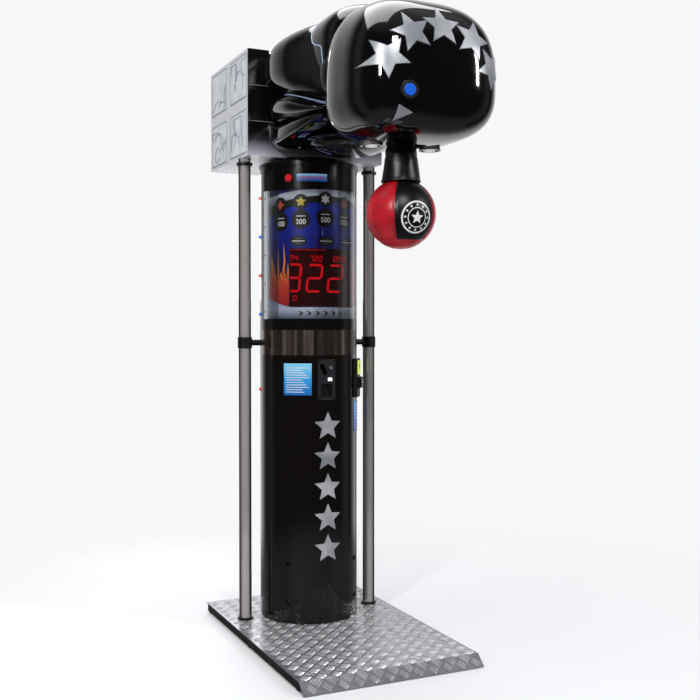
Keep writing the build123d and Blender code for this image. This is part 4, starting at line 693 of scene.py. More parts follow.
def coverSheet():  # clear sheet over the art, finer than the CAD mesh so that no facet cuts the prints
    coverLow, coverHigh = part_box("display_cover")
    outline = boxOutline(arc(-77.9), arc(77.9), coverLow[2] + 0.0004, coverHigh[2] - 0.0004)
    inner, thick = columnRadius - 0.0026, 0.0025

    def surface(x, y, depth):
        return onColumn(math.degrees(x / columnRadius), y, inner + thick * depth)

    place(wrapSheet("coverSheet", flatOutline([outline], 0.004), surface, finish["clear"]), "machine",
          "clear_cover",
          "display_cover")


displayArt()
coverSheet()
print("display art made")


# seven-segment digits on the lamp blocks behind the window
digits = {"slant": 0.10, "stroke": 0.0095, "bigTall": 0.107, "bigWide": 0.060, "smallTall": 0.021,
          "smallWide": 0.0125}
segmentsOf = {"0": "abcdef", "1": "bc", "2": "abdeg", "3": "abcdg", "4": "bcfg", "5": "acdfg", "6": "acdefg",
              "7": "abc", "8": "abcdefg", "9": "abcdfg"}


def segmentOutlines(x, z, tall, wide, stroke, lit):
    half, up, cut = wide / 2, tall / 2, stroke * 0.15
    bars = {
        "a": ((-half, up), (half, up)), "g": ((-half, 0), (half, 0)), "d": ((-half, -up), (half, -up)),
        "f": ((-half, 0), (-half, up)), "b": ((half, 0), (half, up)),
        "e": ((-half, -up), (-half, 0)), "c": ((half, -up), (half, 0)),
    }
    outlines = []
    for key in lit:
        (x0, z0), (x1, z1) = bars[key]
        if z0 == z1:
            shape = [(x0 + cut, z0), (x0 + cut + stroke / 2, z0 + stroke / 2),
                     (x1 - cut - stroke / 2, z0 + stroke / 2),
                     (x1 - cut, z0), (x1 - cut - stroke / 2, z0 - stroke / 2),
                     (x0 + cut + stroke / 2, z0 - stroke / 2)]
        else:
            shape = [(x0, z0 + cut), (x0 - stroke / 2, z0 + cut + stroke / 2),
                     (x0 - stroke / 2, z1 - cut - stroke / 2),
                     (x0, z1 - cut), (x0 + stroke / 2, z1 - cut - stroke / 2),
                     (x0 + stroke / 2, z0 + cut + stroke / 2)]
        outlines.append([(x + u + v * digits["slant"], z + v) for u, v in shape])
    return outlines


def displayDigits():
    faceY = digitLow[1]
    bigZ = artBase + 0.166
    smallZ = windowHigh[2] - 0.032
    lit, dark = [], []
    for i, figure in enumerate("322"):
        x = (i - 1) * 0.093 - 0.006
        own = segmentsOf[figure]
        lit += segmentOutlines(x, bigZ, digits["bigTall"], digits["bigWide"], digits["stroke"], own)
        rest = [k for k in "abcdefg" if k not in own]
        dark += segmentOutlines(x, bigZ, digits["bigTall"], digits["bigWide"], digits["stroke"], rest)
        dark.append(circleOutline(x + 0.040, bigZ - 0.050, 0.0045, count=14))
    for group, text in ((-1, " 24"), (0, "720"), (1, "099")):
        for i, figure in enumerate(text):
            if figure == " ":
                continue
            x = group * 0.106 + (i - 1) * 0.0195
            own = segmentsOf[figure]
            lit += segmentOutlines(x, smallZ, digits["smallTall"], digits["smallWide"], 0.0032, own)
    lit += segmentOutlines(-0.092, windowLow[2] + 0.034, digits["smallTall"], digits["smallWide"], 0.0032,
                           segmentsOf["0"])
    for name, outlines, key in (("litDigits", lit, "digitLit"), ("darkDigits", dark, "digitDark")):
        sheet = flatOutline(outlines, 0)
        obj = wrapSheet(name, sheet, lambda x, y, depth: Vector((x, faceY - 0.0002 - 0.001 * depth, y)),
                        finish[key])
        place(obj, "machine", "digit_block")
    # the thin line over the small digits is on the window itself
    line = boxOutline(arc(-44), arc(-3), windowHigh[2] - 0.0065, windowHigh[2] - 0.0045)
    decal("windowLine", [line], 4, litPlastic("windowLineRed", "b01018", 0.6))


displayDigits()
print("digits made")


# side lamps: a domed lens in a thin ring, red and blue in turn
lampLook = {"radius": 0.006, "proud": 0.009, "ringRadius": 0.0088, "pitch": 0.1573}


def revolve(name, profile, matrix, material, count=40, sharpAngle=35):
    points, faces = [], []
    for radius, out in profile:
        for i in range(count):
            turn = 2 * math.pi * i / count
            points.append(matrix @ Vector((radius * math.cos(turn), radius * math.sin(turn), out)))
    for level in range(len(profile) - 1):
        for i in range(count):
            a = level * count + i
            b = level * count + (i + 1) % count
            faces.append((a, b, b + count, a + count))
    return fromFaces(name, points, faces, material, sharpAngle)


def domeProfile(radius, base, top, steps=8):
    profile = []
    for i in range(steps + 1):
        turn = math.pi / 2 * i / steps
        profile.append((max(radius * math.cos(turn), 1e-5), base + (top - base) * math.sin(turn)))
    return profile


def sideLamps():
    lampLow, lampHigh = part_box("side_lamps")
    top = lampHigh[2] - lampLook["ringRadius"] + 0.0008
    heights = [top - lampLook["pitch"] * step for step in range(4)]
    heights.append(lampLow[2] + lampLook["ringRadius"] - 0.0008)
    for side in (-1, 1):
        for i, z in enumerate(heights):
            matrix = columnFrame(side * 99, z, columnRadius)
            lens = [(1e-5, -0.003), (lampLook["radius"], -0.003)] + domeProfile(lampLook["radius"], 0.003,
                                                                                lampLook["proud"])
            key = "redLamp" if i % 2 == 0 else "blueLamp"
            lamp = revolve(f"sideLamp{side}{i}", lens, matrix, finish[key], 28)
            place(lamp, "machine", "lamp_lens", "side_lamps")
            r = lampLook["ringRadius"]
            ring = [(0.0062, 0.0002), (0.0062, 0.0022), (r - 0.0006, 0.0018), (r, 0.0009), (r, 0.0002),
                    (0.0062, 0.0002)]
            place(revolve(f"lampRing{side}{i}", ring, matrix, finish["chrome"], 28), "machine", "silver_trim")


sideLamps()
print("side lamps made")


# silver stars, cut from sheet with a bevelled edge and set on a dark outline
starLook = {"columnCount": 5, "columnPitch": 0.122, "columnOuter": 0.058, "waist": 0.46,
            "archCount": 5, "archRadius": 0.210, "archStep": 31, "archOuter": 0.066, "rise": 0.002}
def cubeGrid(count):
    points, faces = [], []
    for axis in range(3):
        for sign in (-1, 1):
            base = len(points)
            for i in range(count + 1):
                for j in range(count + 1):
                    u = math.tan(math.pi / 4 * (2 * i / count - 1))
                    v = math.tan(math.pi / 4 * (2 * j / count - 1))
                    spot = [0, 0, 0]
                    spot[axis] = sign
                    spot[(axis + 1) % 3] = u
                    spot[(axis + 2) % 3] = v
                    points.append(Vector(spot))
            for i in range(count):
                for j in range(count):
                    a = base + i * (count + 1) + j
                    faces.append((a, a + count + 1, a + count + 2, a + 1))
    return points, faces


fistShape = {"plan": 3.3, "top": 2.9, "bottom": 3.0, "belt": 0.41, "height": 0.432, "crownRise": 0.070,
             "grid": 44}
fistCentre = Vector((0, (fistLow[1] + fistHigh[1]) / 2, fistLow[2] + fistShape["height"] * fistShape["belt"]))
fistHalf = Vector(((fistHigh[0] - fistLow[0]) / 2, (fistHigh[1] - fistLow[1]) / 2, 0))
fistUp = fistShape["height"] * (1 - fistShape["belt"])
fistDown = fistCentre.z - fistLow[2]


def fistMeasure(x, y, z):
    planPower = fistShape["plan"]
    plan = (abs(x / fistHalf.x) ** planPower + abs(y / fistHalf.y) ** planPower) ** (1 / planPower)
    power = fistShape["top"] if z > 0 else fistShape["bottom"]
    height = z / fistUp if z > 0 else -z / fistDown
    return (plan ** power + abs(height) ** power) ** (1 / power)


def fistSkin():
    points, faces = cubeGrid(fistShape["grid"])
    placed = []
    for spot in points:
        stretched = Vector((spot.x * fistHalf.x, spot.y * fistHalf.y,
                            spot.z * (fistUp if spot.z > 0 else fistDown)))
        offset = stretched / fistMeasure(*stretched)
        back = (offset.y / fistHalf.y + 1) / 2
        # the crown climbs toward the back
        offset.z += fistShape["crownRise"] * back * max(0, offset.z / fistUp)
        placed.append(fistCentre + offset)
    return placed, faces


def onFist(x, z, lift):
    spot, normal, _, _ = fistTree.ray_cast(Vector((x, fistLow[1] - 0.1, z)), Vector((0, 1, 0)))
    if normal.y > 0:
        normal = -normal
    return spot + normal * lift


fistTree = BVHTree.FromPolygons(*fistSkin())


def stars():
    starPaint = brushedAluminium("starSilver", "8d8f97", "c2c4ca")
    starPaint.node_tree.nodes["Principled BSDF"].inputs["Metallic"].default_value = 0.35
    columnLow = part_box("silver_stars")[0][2]
    lowest = columnLow + starLook["columnOuter"] * math.cos(math.radians(36))
    for i in range(starLook["columnCount"]):
        z = lowest + i * starLook["columnPitch"]
        for grow, lift, paint, label in ((1.05, 0.0003, finish["inkBlack"], "Edge"),
                                         (1.0, starLook["rise"], starPaint, "")):
            outline = starOutline(0, z, starLook["columnOuter"] * grow, starLook["waist"])
            sheet = flatOutline([outline], 0.006)

            def surface(x, y, depth, lift=lift):
                return onColumn(math.degrees(x / columnRadius), y, columnRadius + 0.0001 + lift * depth)

            obj = wrapSheet(f"columnStar{label}{i}", sheet, surface, paint)
            place(obj, "machine", "silver_trim", *(["silver_stars"] if not label else []))
    archZ = fistLow[2] + 0.124
    for i in range(starLook["archCount"]):
        turn = math.radians((i - 2) * starLook["archStep"])
        x = starLook["archRadius"] * math.sin(turn)
        z = archZ + starLook["archRadius"] * math.cos(turn)
        for grow, lift, paint, label in ((1.06, 0.0006, finish["inkGrey"], "Edge"),
                                         (1.0, starLook["rise"], starPaint, "")):
            outline = starOutline(x, z, starLook["archOuter"] * grow, starLook["waist"], -turn * 0.6)
            sheet = flatOutline([outline], 0.007, 0.007)
            obj = wrapSheet(f"fistStar{label}{i}", sheet, lambda u, v, d,
                            lift=lift: onFist(u, v, 0.0001 + lift * d), paint)
            place(obj, "machine", "silver_trim")
    # a plain play sign under the start button
    playZ = fistLow[2] + 0.058
    playX = -0.125
    shape = [(playX - 0.024, playZ + 0.022), (playX + 0.026, playZ), (playX - 0.024, playZ - 0.022)]
    obj = wrapSheet("playSign", flatOutline([shape], 0.006, 0.006), lambda u, v,
                    d: onFist(u, v, 0.0001 + 0.0008 * d), starPaint)
    place(obj, "machine", "silver_trim")


stars()
print("stars made")


# the fist: one rounded moulding with the arm's slot and two lamp holes in its underside
fistCut = {"wall": 0.005, "slotHalf": 0.064, "slotBack": 0.010, "slotFront": 0.078, "lampX": 0.111,
           "lampRadius": 0.0365}


def cutBy(obj, cutters):
    for i, cutter in enumerate(cutters):
        step = obj.modifiers.new(f"cut{i}", "BOOLEAN")
        step.operation = "DIFFERENCE"
        step.solver = "EXACT"
        step.object = cutter
    bakeModifiers(obj)
    for cutter in cutters:
        bpy.data.objects.remove(cutter)


def prism(name, outline, low, high):
    count = len(outline)
    points = [(x, y, low) for x, y in outline] + [(x, y, high) for x, y in outline]
    faces = [tuple(range(count))[::-1], tuple(range(count, 2 * count))]
    faces += [(i, (i + 1) % count, (i + 1) % count + count, i + count) for i in range(count)]
    return fromFaces(name, points, faces, finish["glove"])


def roundedOutline(x0, x1, y0, y1, radius, steps=8):
    outline = []
    for cx, cy, start in ((x1 - radius, y1 - radius, 0), (x0 + radius, y1 - radius, 90),
                          (x0 + radius, y0 + radius, 180), (x1 - radius, y0 + radius, 270)):
        for i in range(steps + 1):
            turn = math.radians(start + 90 * i / steps)
            outline.append((cx + radius * math.cos(turn), cy + radius * math.sin(turn)))
    return outline


def makeFist():
    placed, faces = fistSkin()
    fist = fromFaces("fist", placed, faces, finish["glove"], 60)
    shell = fist.modifiers.new("wall", "SOLIDIFY")
    shell.thickness = fistCut["wall"]
    shell.offset = -1
    bakeModifiers(fist)
    slot = roundedOutline(-fistCut["slotHalf"], fistCut["slotHalf"], pivotY - fistCut["slotFront"],
                          fistHigh[1] - fistCut["slotBack"], 0.02)
    cutters = [prism("slotCutter", slot, fistLow[2] - 0.02, fistLow[2] + 0.09)]
    for side in (-1, 1):
        cutters.append(prism(f"lampCutter{side}",
                             circleOutline(side * fistCut["lampX"], pivotY, fistCut["lampRadius"]),
                             fistLow[2] - 0.02, fistLow[2] + 0.05))
    startLow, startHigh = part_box("start_button")
    startSpot = Vector(((startLow[0] + startHigh[0]) / 2, 0, (startLow[2] + startHigh[2]) / 2))
    cutters.append(prism("buttonCutter", circleOutline(startSpot.x, fistLow[1] + 0.02, 0.0225), -0.05, 0.05))
    hole = cutters[-1]
    hole.data.transform(Matrix.Translation((startSpot.x, fistLow[1] + 0.02, startSpot.z))
                        @ Matrix.Rotation(math.radians(90), 4,
                                          "X") @ Matrix.Translation((-startSpot.x, -fistLow[1] - 0.02, 0)))
    cutBy(fist, cutters)
    meshFinish(fist, finish["glove"], 30)
    place(fist, "machine", "black_fibreglass", "fist_shell")


def meshFinish(obj, material, sharpAngle):
    obj.data.materials.clear()
    obj.data.materials.append(material)
    for face in obj.data.polygons:
        face.use_smooth = True
        face.material_index = 0
    obj.data.set_sharp_from_angle(angle=math.radians(sharpAngle))


makeFist()
print("fist made")


# the back of the hand: an upper lobe over a thumb lobe and a lower lip, and a ridge behind the knuckles
handLook = {"rows": 60, "around": 112}


def station(reach, half, low, high):
    return {"reach": reach, "half": half, "low": low, "high": high}


lobeShapes = {
    "handLobe": {"power": 3.0, "slot": "hand_shell", "stations": [
        station(0.089, 0.214, 2.120, 2.322), station(0.150, 0.244, 2.100, 2.338),
                                                                  station(0.260, 0.262, 2.075, 2.3425),
        station(0.380, 0.258, 2.040, 2.3425), station(0.480, 0.240, 2.010, 2.335),
                                                                  station(0.570, 0.220, 1.990, 2.305),
        station(0.650, 0.200, 1.985, 2.270)]},
    "thumbLobe": {"power": 2.3, "slot": "thumb_shell", "stations": [
        station(0.160, 0.150, 2.040, 2.056), station(0.176, 0.215, 2.005, 2.090),
                                                                    station(0.215, 0.248, 1.978, 2.118),
        station(0.300, 0.260, 1.964, 2.122), station(0.400, 0.262, 1.957, 2.092),
                                                                    station(0.500, 0.250, 1.957, 2.050),
        station(0.590, 0.234, 1.962, 2.014), station(0.650, 0.216, 1.966, 1.994)]},
    "wristLip": {"power": 5.0, "slot": None, "stations": [
        station(0.089, 0.196, 1.915, 2.060), station(0.200, 0.232, 1.912, 2.010),
                                                          station(0.320, 0.244, 1.915, 1.985),
        station(0.450, 0.240, 1.926, 1.978), station(0.570, 0.228, 1.942, 1.974),
                                                          station(0.635, 0.212, 1.950, 1.970)]},
}


def blendStations(stations, reach, key):
    for a, b in zip(stations, stations[1:]):
        if reach <= b["reach"]:
            break
    share = min(max((reach - a["reach"]) / (b["reach"] - a["reach"]), 0), 1)
    i = stations.index(a)
    before = stations[max(i - 1, 0)][key]
    after = stations[min(i + 2, len(stations) - 1)][key]
    m0 = (b[key] - before) / 2
    m1 = (after - a[key]) / 2
    s2, s3 = share * share, share ** 3
    return ((2 * s3 - 3 * s2 + 1) * a[key] + (s3 - 2 * s2 + share) * m0
            + (3 * s2 - 2 * s3) * b[key] + (s3 - s2) * m1)


def makeLobe(name, shape):
    points, faces = [], []
    stations = shape["stations"]
    rows, around = handLook["rows"], handLook["around"]
    start, end = stations[0]["reach"], stations[-1]["reach"]
    for i in range(rows + 1):
        reach = start + (end - start) * i / rows
        half, low, high = (blendStations(stations, reach, key) for key in ("half", "low", "high"))
        middle, tall = (low + high) / 2, (high - low) / 2
        for j in range(around):
            turn = 2 * math.pi * j / around
            c, s = math.cos(turn), math.sin(turn)
            x = half * math.copysign(abs(c) ** (2 / shape["power"]), c)
            z = middle + tall * math.copysign(abs(s) ** (2 / shape["power"]), s)
            points.append(Vector((x, columnY - reach, z)))
    for i in range(rows):
        for j in range(around):
            a, b = i * around + j, i * around + (j + 1) % around
            faces.append((a, b, b + around, a + around))
    faces += [tuple(reversed(range(around))), tuple(rows * around + j for j in range(around))]
    obj = fromFaces(name, points, faces, finish["glove"], 50)
    place(obj, "machine", "black_fibreglass", *([shape["slot"]] if shape["slot"] else []))
    return points, faces


ridgeLook = {"reach": 0.606, "height": 2.214, "half": 0.216, "depth": 0.205, "up": 0.1285, "down": 0.21,
             "plan": 3.0, "side": 2.7}


def makeRidge():
    points, faces = cubeGrid(30)
    centre = Vector((0, columnY - ridgeLook["reach"], ridgeLook["height"]))
    placed = []
    for spot in points:
        tall = ridgeLook["up"] if spot.z > 0 else ridgeLook["down"]
        planPower = ridgeLook["plan"]
        plan = (abs(spot.x) ** planPower + abs(spot.y) ** planPower) ** (1 / planPower)
        size = (plan ** ridgeLook["side"] + abs(spot.z) ** ridgeLook["side"]) ** (1 / ridgeLook["side"])
        unit = spot / size
        placed.append(centre + Vector((unit.x * ridgeLook["half"], unit.y * ridgeLook["depth"],
                                       unit.z * tall)))
    ridge = fromFaces("knuckleRidge", placed, faces, finish["glove"], 50)
    place(ridge, "machine", "black_fibreglass")
    return placed, faces


def makeHand():
    skins = [makeLobe(name, shape) for name, shape in lobeShapes.items()]
    skins.append(makeRidge())
    skins.append(fistSkin())
    lipZ = 1.915
    bowlTop = lipZ + 0.004
    bowlRadius, bowlDeep = 0.145, lipZ - thumbLow[2]
    profile = [(bowlRadius + 0.03, bowlTop), (bowlRadius + 0.012, lipZ - 0.003)]
    profile += [(bowlRadius * math.cos(a), lipZ - 0.004 - (bowlDeep - 0.004) * math.sin(a))
                for a in [math.pi / 2 * i / 16 for i in range(16)]] + [(1e-5, thumbLow[2])]
    centre = Matrix.Translation((0, columnY - 0.4, 0))
    bowl = revolve("wristBowl", profile + [(1e-5, bowlTop), (bowlRadius + 0.03, bowlTop)], centre,
                   finish["glove"], 72)
    place(bowl, "machine", "black_fibreglass")
    trees = [BVHTree.FromPolygons(points, faces) for points, faces in skins]
    creaseReflections(trees, [trees[0], trees[1], trees[3]])


def outerSkin(trees, start, heading):
    nearest = None
    for tree in trees:
        spot, _, _, gap = tree.ray_cast(start, heading)
        if spot and (nearest is None or gap < nearest[1]):
            nearest = (spot, gap)
    return nearest


def deepest(trees, starts, heading):
    hits = [outerSkin(trees, start, heading) for start in starts]
    hits = [hit for hit in hits if hit]
    return max(hits, key=lambda hit: hit[1])[0] if hits else None


def spread(low, high, count):
    return [low + (high - low) * i / (count - 1) for i in range(count)]


def creaseReflections(trees, handTrees):  # glowing pale lines, a painted reflection, lie in the deepest part of each crease
    for side in (-1, 1):
        inward = Vector((-side, 0, 0))
        crease = []
        for reach in spread(0.10, 0.64, 19):
            middle = 2.150 - (reach - 0.10) * 0.285
            starts = [Vector((side * 0.6, columnY - reach, middle + lift)) for lift in spread(-0.03, 0.03,
                                                                                              25)]
            spot = deepest(trees, starts, inward)
            if spot:
                crease.append(spot - inward * 0.001)
        place(tube(f"creaseReflection{side}", crease, 0.0016, finish["paintedReflectionLine"]), "machine", "lamp_lens")
        groove = []
        for z in spread(1.975, 2.300, 16):
            starts = [Vector((side * 0.6, columnY - reach, z)) for reach in spread(0.42, 0.64, 80)]
            spot = deepest(handTrees, starts, inward)
            if spot:
                groove.append(spot - inward * 0.001)
        for x in spread(0.17, 0.01, 6):
            starts = [Vector((side * x, columnY - reach, 2.6)) for reach in spread(0.34, 0.48, 31)]
            spot = deepest(trees, starts, Vector((0, 0, -1)))
            if spot:
                groove.append(spot + Vector((0, 0, 0.001)))
        place(tube(f"grooveReflection{side}", groove, 0.0016, finish["paintedReflectionLine"]), "machine", "lamp_lens")


def makeNeck():
    neckLow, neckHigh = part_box("glove_neck")
    centreZ, half = (neckLow[2] + neckHigh[2]) / 2, (neckHigh[2] - neckLow[2]) / 2
    points, faces = [], []
    rows = [(neckHigh[1] - 0.001, 0.95), (neckHigh[1] - 0.008, 1.0), (neckLow[1] + 0.02, 1.0),
            (neckLow[1], 0.97)]
    around = 96
    for y, grow in rows:
        for j in range(around):
            turn = 2 * math.pi * j / around
            c, s = math.cos(turn), math.sin(turn)
            points.append((neckHigh[0] * 0.97 * grow * math.copysign(abs(c) ** 0.75, c), y,
                           centreZ + half * grow * math.copysign(abs(s) ** 0.75, s)))
    for i in range(len(rows) - 1):
        for j in range(around):
            a, b = i * around + j, i * around + (j + 1) % around
            faces.append((a, b, b + around, a + around))
    faces += [tuple(reversed(range(around))), tuple(3 * around + j for j in range(around))]
    neck = fromFaces("gloveNeck", points, faces, finish["glove"], 40)
    place(neck, "machine", "black_fibreglass", "glove_neck")

makeHand()
makeNeck()
print("hand made")


# head box: pale sides with outlined panels and drawn line motifs, black front
boxLook = {"frameWidth": 0.0035, "seed": 7}


def headPanels():
    random.seed(boxLook["seed"])
    gutter = 0.048
    depth = (panelHigh[1] - panelLow[1] - gutter) / 2
    tall = (panelHigh[2] - panelLow[2] - gutter) / 2
    for side in (-1, 1):
        wallX = headHigh[0] * side
        for column in range(2):
            for row in range(2):
                y0 = panelLow[1] + column * (depth + gutter)
                z0 = panelLow[2] + row * (tall + gutter)

                def onWall(u, v, d, wallX=wallX, side=side, lift=0.0, thick=0.0015):
                    return Vector((wallX + side * (lift + thick * d), u, v))

                label = f"{'L' if side < 0 else 'R'}{column}{row}"
                sheet = flatOutline([boxOutline(y0, y0 + depth, z0, z0 + tall)], 0)
                panel = wrapSheet(f"sidePanel{label}", sheet, lambda u, v,
                                  d: onWall(u, v, d, lift=0.0, thick=0.0012),
                                  finish["whiteFilm"])
                place(panel, "machine", "white_print", "side_panels")
                w = boxLook["frameWidth"]
                frameSheet = flatOutline([boxOutline(y0, y0 + depth, z0, z0 + tall),
                                          boxOutline(y0 + w, y0 + depth - w, z0 + w, z0 + tall - w)], 0)
                border = wrapSheet(f"panelBorder{label}", frameSheet,
                                   lambda u, v, d: onWall(u, v, d, lift=0.0012, thick=0.0003),
                                   finish["inkGrey"])
                place(border, "machine", "white_print")
                for stroke in range(4):
                    points = []
                    u = y0 + depth * random.uniform(0.15, 0.85)
                    v = z0 + tall * random.uniform(0.15, 0.5)
                    heading = random.uniform(0.6, 2.4)
                    for _ in range(9):
                        points.append((wallX + side * 0.0014, u, v))
                        heading += random.uniform(-0.95, 0.95)
                        u += 0.026 * math.cos(heading)
                        v += 0.026 * math.sin(heading)
                        u = min(max(u, y0 + 0.014), y0 + depth - 0.014)
                        v = min(max(v, z0 + 0.014), z0 + tall - 0.014)
                    line = tube(f"panelStroke{label}{stroke}", points, 0.0012, finish["inkGrey"])
                    place(line, "machine", "white_print")
    fade = heightPrint("frontPlateFade", headLow[2], headLow[2] + 0.09, [
        (0, "b4b6c0"), (0.25, "8d8e98"), (0.7, "2a282d"), (1, "0b0a0c")], 0.2)
    dress("head_front_plate", fade)
    # faint panel joints on the black front and a bright edge under it
    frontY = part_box("head_front_plate")[0][1]
    for k, z in enumerate((headLow[2] + 0.135, headLow[2] + 0.275)):
        sheet = flatOutline([boxOutline(-0.291, 0.291, z, z + 0.0025)], 0)
        joint = wrapSheet(f"frontJoint{k}", sheet, lambda u, v, d: Vector((u, frontY - 0.0006 * d, v)),
                          finish["inkGrey"])
        place(joint, "machine", "black_gloss_paint")


headPanels()
print("head box dressed")


# the ball: leather gores over the core, with pressed seams and a ring mark
ballLook = {"blackHalf": 38, "capLatitude": -52, "seamWidth": 2.2, "seamDepth": 0.0016, "markDrop": 11}
ballCentre = Vector((0, pivotY, (ballHigh[2] - (sleeveHigh[2] - sleeveLow[2]) * 0 + ballLow[2]) / 2))
ballRadius = (ballHigh[0] - ballLow[0]) / 2
ballCentre.z = ballLow[2] + ballRadius


def ballPoint(longitude, latitude, radius):
    lon, lat = math.radians(longitude), math.radians(latitude)
    return ballCentre + Vector((math.cos(lat) * math.sin(lon), -math.cos(lat) * math.cos(lon),
                                math.sin(lat))) * radius


def seamPress(longitude, latitude, gores):
    press = 0.0
    scale = math.cos(math.radians(latitude))
    for edge in gores:
        gap = abs((longitude - edge + 180) % 360 - 180) * scale
        if latitude > ballLook["capLatitude"]:
            press = max(press, math.exp(-(gap / ballLook["seamWidth"]) ** 2))
    gap = abs(latitude - ballLook["capLatitude"])
    return max(press, math.exp(-(gap / ballLook["seamWidth"]) ** 2))


def makeBall():
    half = ballLook["blackHalf"]
    gores = [-half, half, 180 - half, 180 + half, 90, 270]
    topLatitude = math.degrees(math.asin((ballHigh[2] - ballCentre.z) / ballRadius)) - 0.5
    patches = {"redLeather": [[], []], "blackLeather": [[], []]}
    columns, rows = 180, 120
    for i in range(columns):
        for j in range(rows):
            lon0, lon1 = -180 + 360 * i / columns, -180 + 360 * (i + 1) / columns
            lat0 = -90 + (topLatitude + 90) * j / rows
            lat1 = -90 + (topLatitude + 90) * (j + 1) / rows
            middle = (lon0 + lon1) / 2
            onBlack = abs(middle) < half or abs(abs(middle) - 180) < half
            key = "blackLeather" if onBlack and (lat0 + lat1) / 2 > ballLook["capLatitude"] else "redLeather"
            points, faces = patches[key]
            base = len(points)
            for lon, lat in ((lon0, lat0), (lon1, lat0), (lon1, lat1), (lon0, lat1)):
                radius = ballRadius - 0.0004 - ballLook["seamDepth"] * seamPress(lon, lat, gores)
                points.append(ballPoint(lon, lat, radius))
            faces.append((base, base + 1, base + 2, base + 3))
    allPoints, allFaces, keys = [], [], []
    for key, (points, faces) in patches.items():
        shift = len(allPoints)
        allPoints += points
        allFaces += [tuple(i + shift for i in face) for face in faces]
        keys += [key] * len(faces)
    data = bpy.data.meshes.new("ball")
    data.from_pydata([tuple(p) for p in allPoints], [], allFaces)
    data.materials.append(finish["redLeather"])
    data.materials.append(finish["blackLeather"])
    for face, key in zip(data.polygons, keys):
        face.material_index = 0 if key == "redLeather" else 1
        face.use_smooth = True
    solid = bmesh.new()
    solid.from_mesh(data)
    bmesh.ops.remove_doubles(solid, verts=solid.verts, dist=1e-5)
    bmesh.ops.recalc_face_normals(solid, faces=solid.faces)
    solid.to_mesh(data)
    solid.free()
    ball = bpy.data.objects.new("ball", data)
    bpy.context.collection.objects.link(ball)
    wall = ball.modifiers.new("wall", "SOLIDIFY")
    wall.thickness = 0.004
    wall.offset = -1
    bakeModifiers(ball)
    place(ball, "ball_arm", "red_leather", "ball_leather")
    # stitches in pairs beside the front seams
    for side in (-1, 1):
        points, faces = [], []
        for offset in (-2.2, 2.2):
            lat = -46
            while lat < 58:
                lon = side * half + offset / math.cos(math.radians(lat))
                a = ballPoint(lon, lat, ballRadius - 0.0004)
                b = ballPoint(lon, lat + 1.7, ballRadius - 0.0004)
                out = (a - ballCentre).normalized()
                sideways = out.cross((b - a).normalized())
                base = len(points)
                for end in (a, b):
                    for s, l in ((-1, -0.2), (-0.6, 1), (0.6, 1), (1, -0.2)):
                        points.append(end + sideways * 0.0006 * s + out * 0.0006 * l)
                for k in range(4):
                    m = (k + 1) % 4
                    faces.append((base + k, base + m, base + 4 + m, base + 4 + k))
                faces += [(base, base + 1, base + 2, base + 3), (base + 7, base + 6, base + 5, base + 4)]
                lat += 2.7
        stitches = fromFaces(f"ballStitches{side}", points, faces, finish["thread"], 60)
        place(stitches, "ball_arm", "red_leather")
    # a printed ring with a star where the fist should land
    ringLift = 0.0004

    def onBall(x, y, depth):
        lon = math.degrees(x / ballRadius)
        lat = math.degrees(y / ballRadius)
        spin = Matrix.Rotation(math.radians(ballLook["markDrop"] - lat), 4, "X")
        flat = spin @ Vector((math.sin(math.radians(lon)), -math.cos(math.radians(lon)), 0))
        return ballCentre + flat * (ballRadius - 0.0003 + ringLift * depth)

    ring = flatOutline([circleOutline(0, 0, 0.056, count=64), circleOutline(0, 0, 0.050, count=64)], 0.006,
                       0.006)
    place(wrapSheet("ballRing", ring, onBall, finish["whiteInk"]), "ball_arm", "red_leather")
    inner = flatOutline([circleOutline(0, 0, 0.034, count=64), circleOutline(0, 0, 0.031, count=64)], 0.006,
                        0.006)
    place(wrapSheet("ballInnerRing", inner, onBall, finish["whiteInk"]), "ball_arm", "red_leather")
    dots = [starOutline(0.0425 * math.sin(math.radians(a)), 0.0425 * math.cos(math.radians(a)), 0.0058, 0.45)
            for a in range(0, 360, 30)]
    place(wrapSheet("ballRingStars", flatOutline(dots, 0.006, 0.006), onBall, finish["whiteInk"]),
          "ball_arm", "red_leather")
    star = flatOutline([starOutline(0, 0, 0.023, 0.45)], 0.006, 0.006)
    place(wrapSheet("ballStar", star, onBall, finish["whiteInk"]), "ball_arm", "red_leather")


makeBall()
print("ball made")


# the sleeve: a leather wrap with soft folds, a flap down its front and press studs
sleeveLook = {"wall": 0.0032, "folds": 5, "foldDepth": 0.0022, "flapFrom": -18, "flapTo": 62,
              "studRadius": 0.0052}


def sleeveRadius(t, turn):
    topRadius, hemRadius = 0.0445, 0.0635
    base = topRadius + (hemRadius - topRadius) * t
    base += 0.0018 * math.exp(-((t - 0.985) / 0.03) ** 2)  # the turned hem
    foldFade = math.sin(math.pi * min(t * 1.1, 1))
    sag = math.sin(turn * sleeveLook["folds"] + 3.2 * t) * sleeveLook["foldDepth"] * foldFade * 0.5
    ridge = 0.0012 * math.sin(t * 26 + 1.5 * math.sin(turn * 2)) * math.exp(-((t - 0.25) / 0.22) ** 2)
    return base + sag + ridge - 0.0006


def sleevePoint(t, turn, lift=0.0):
    z = sleeveHigh[2] + (sleeveLow[2] - sleeveHigh[2]) * t
    radius = sleeveRadius(t, turn) + lift
    return Vector((radius * math.sin(turn), pivotY - radius * math.cos(turn), z))


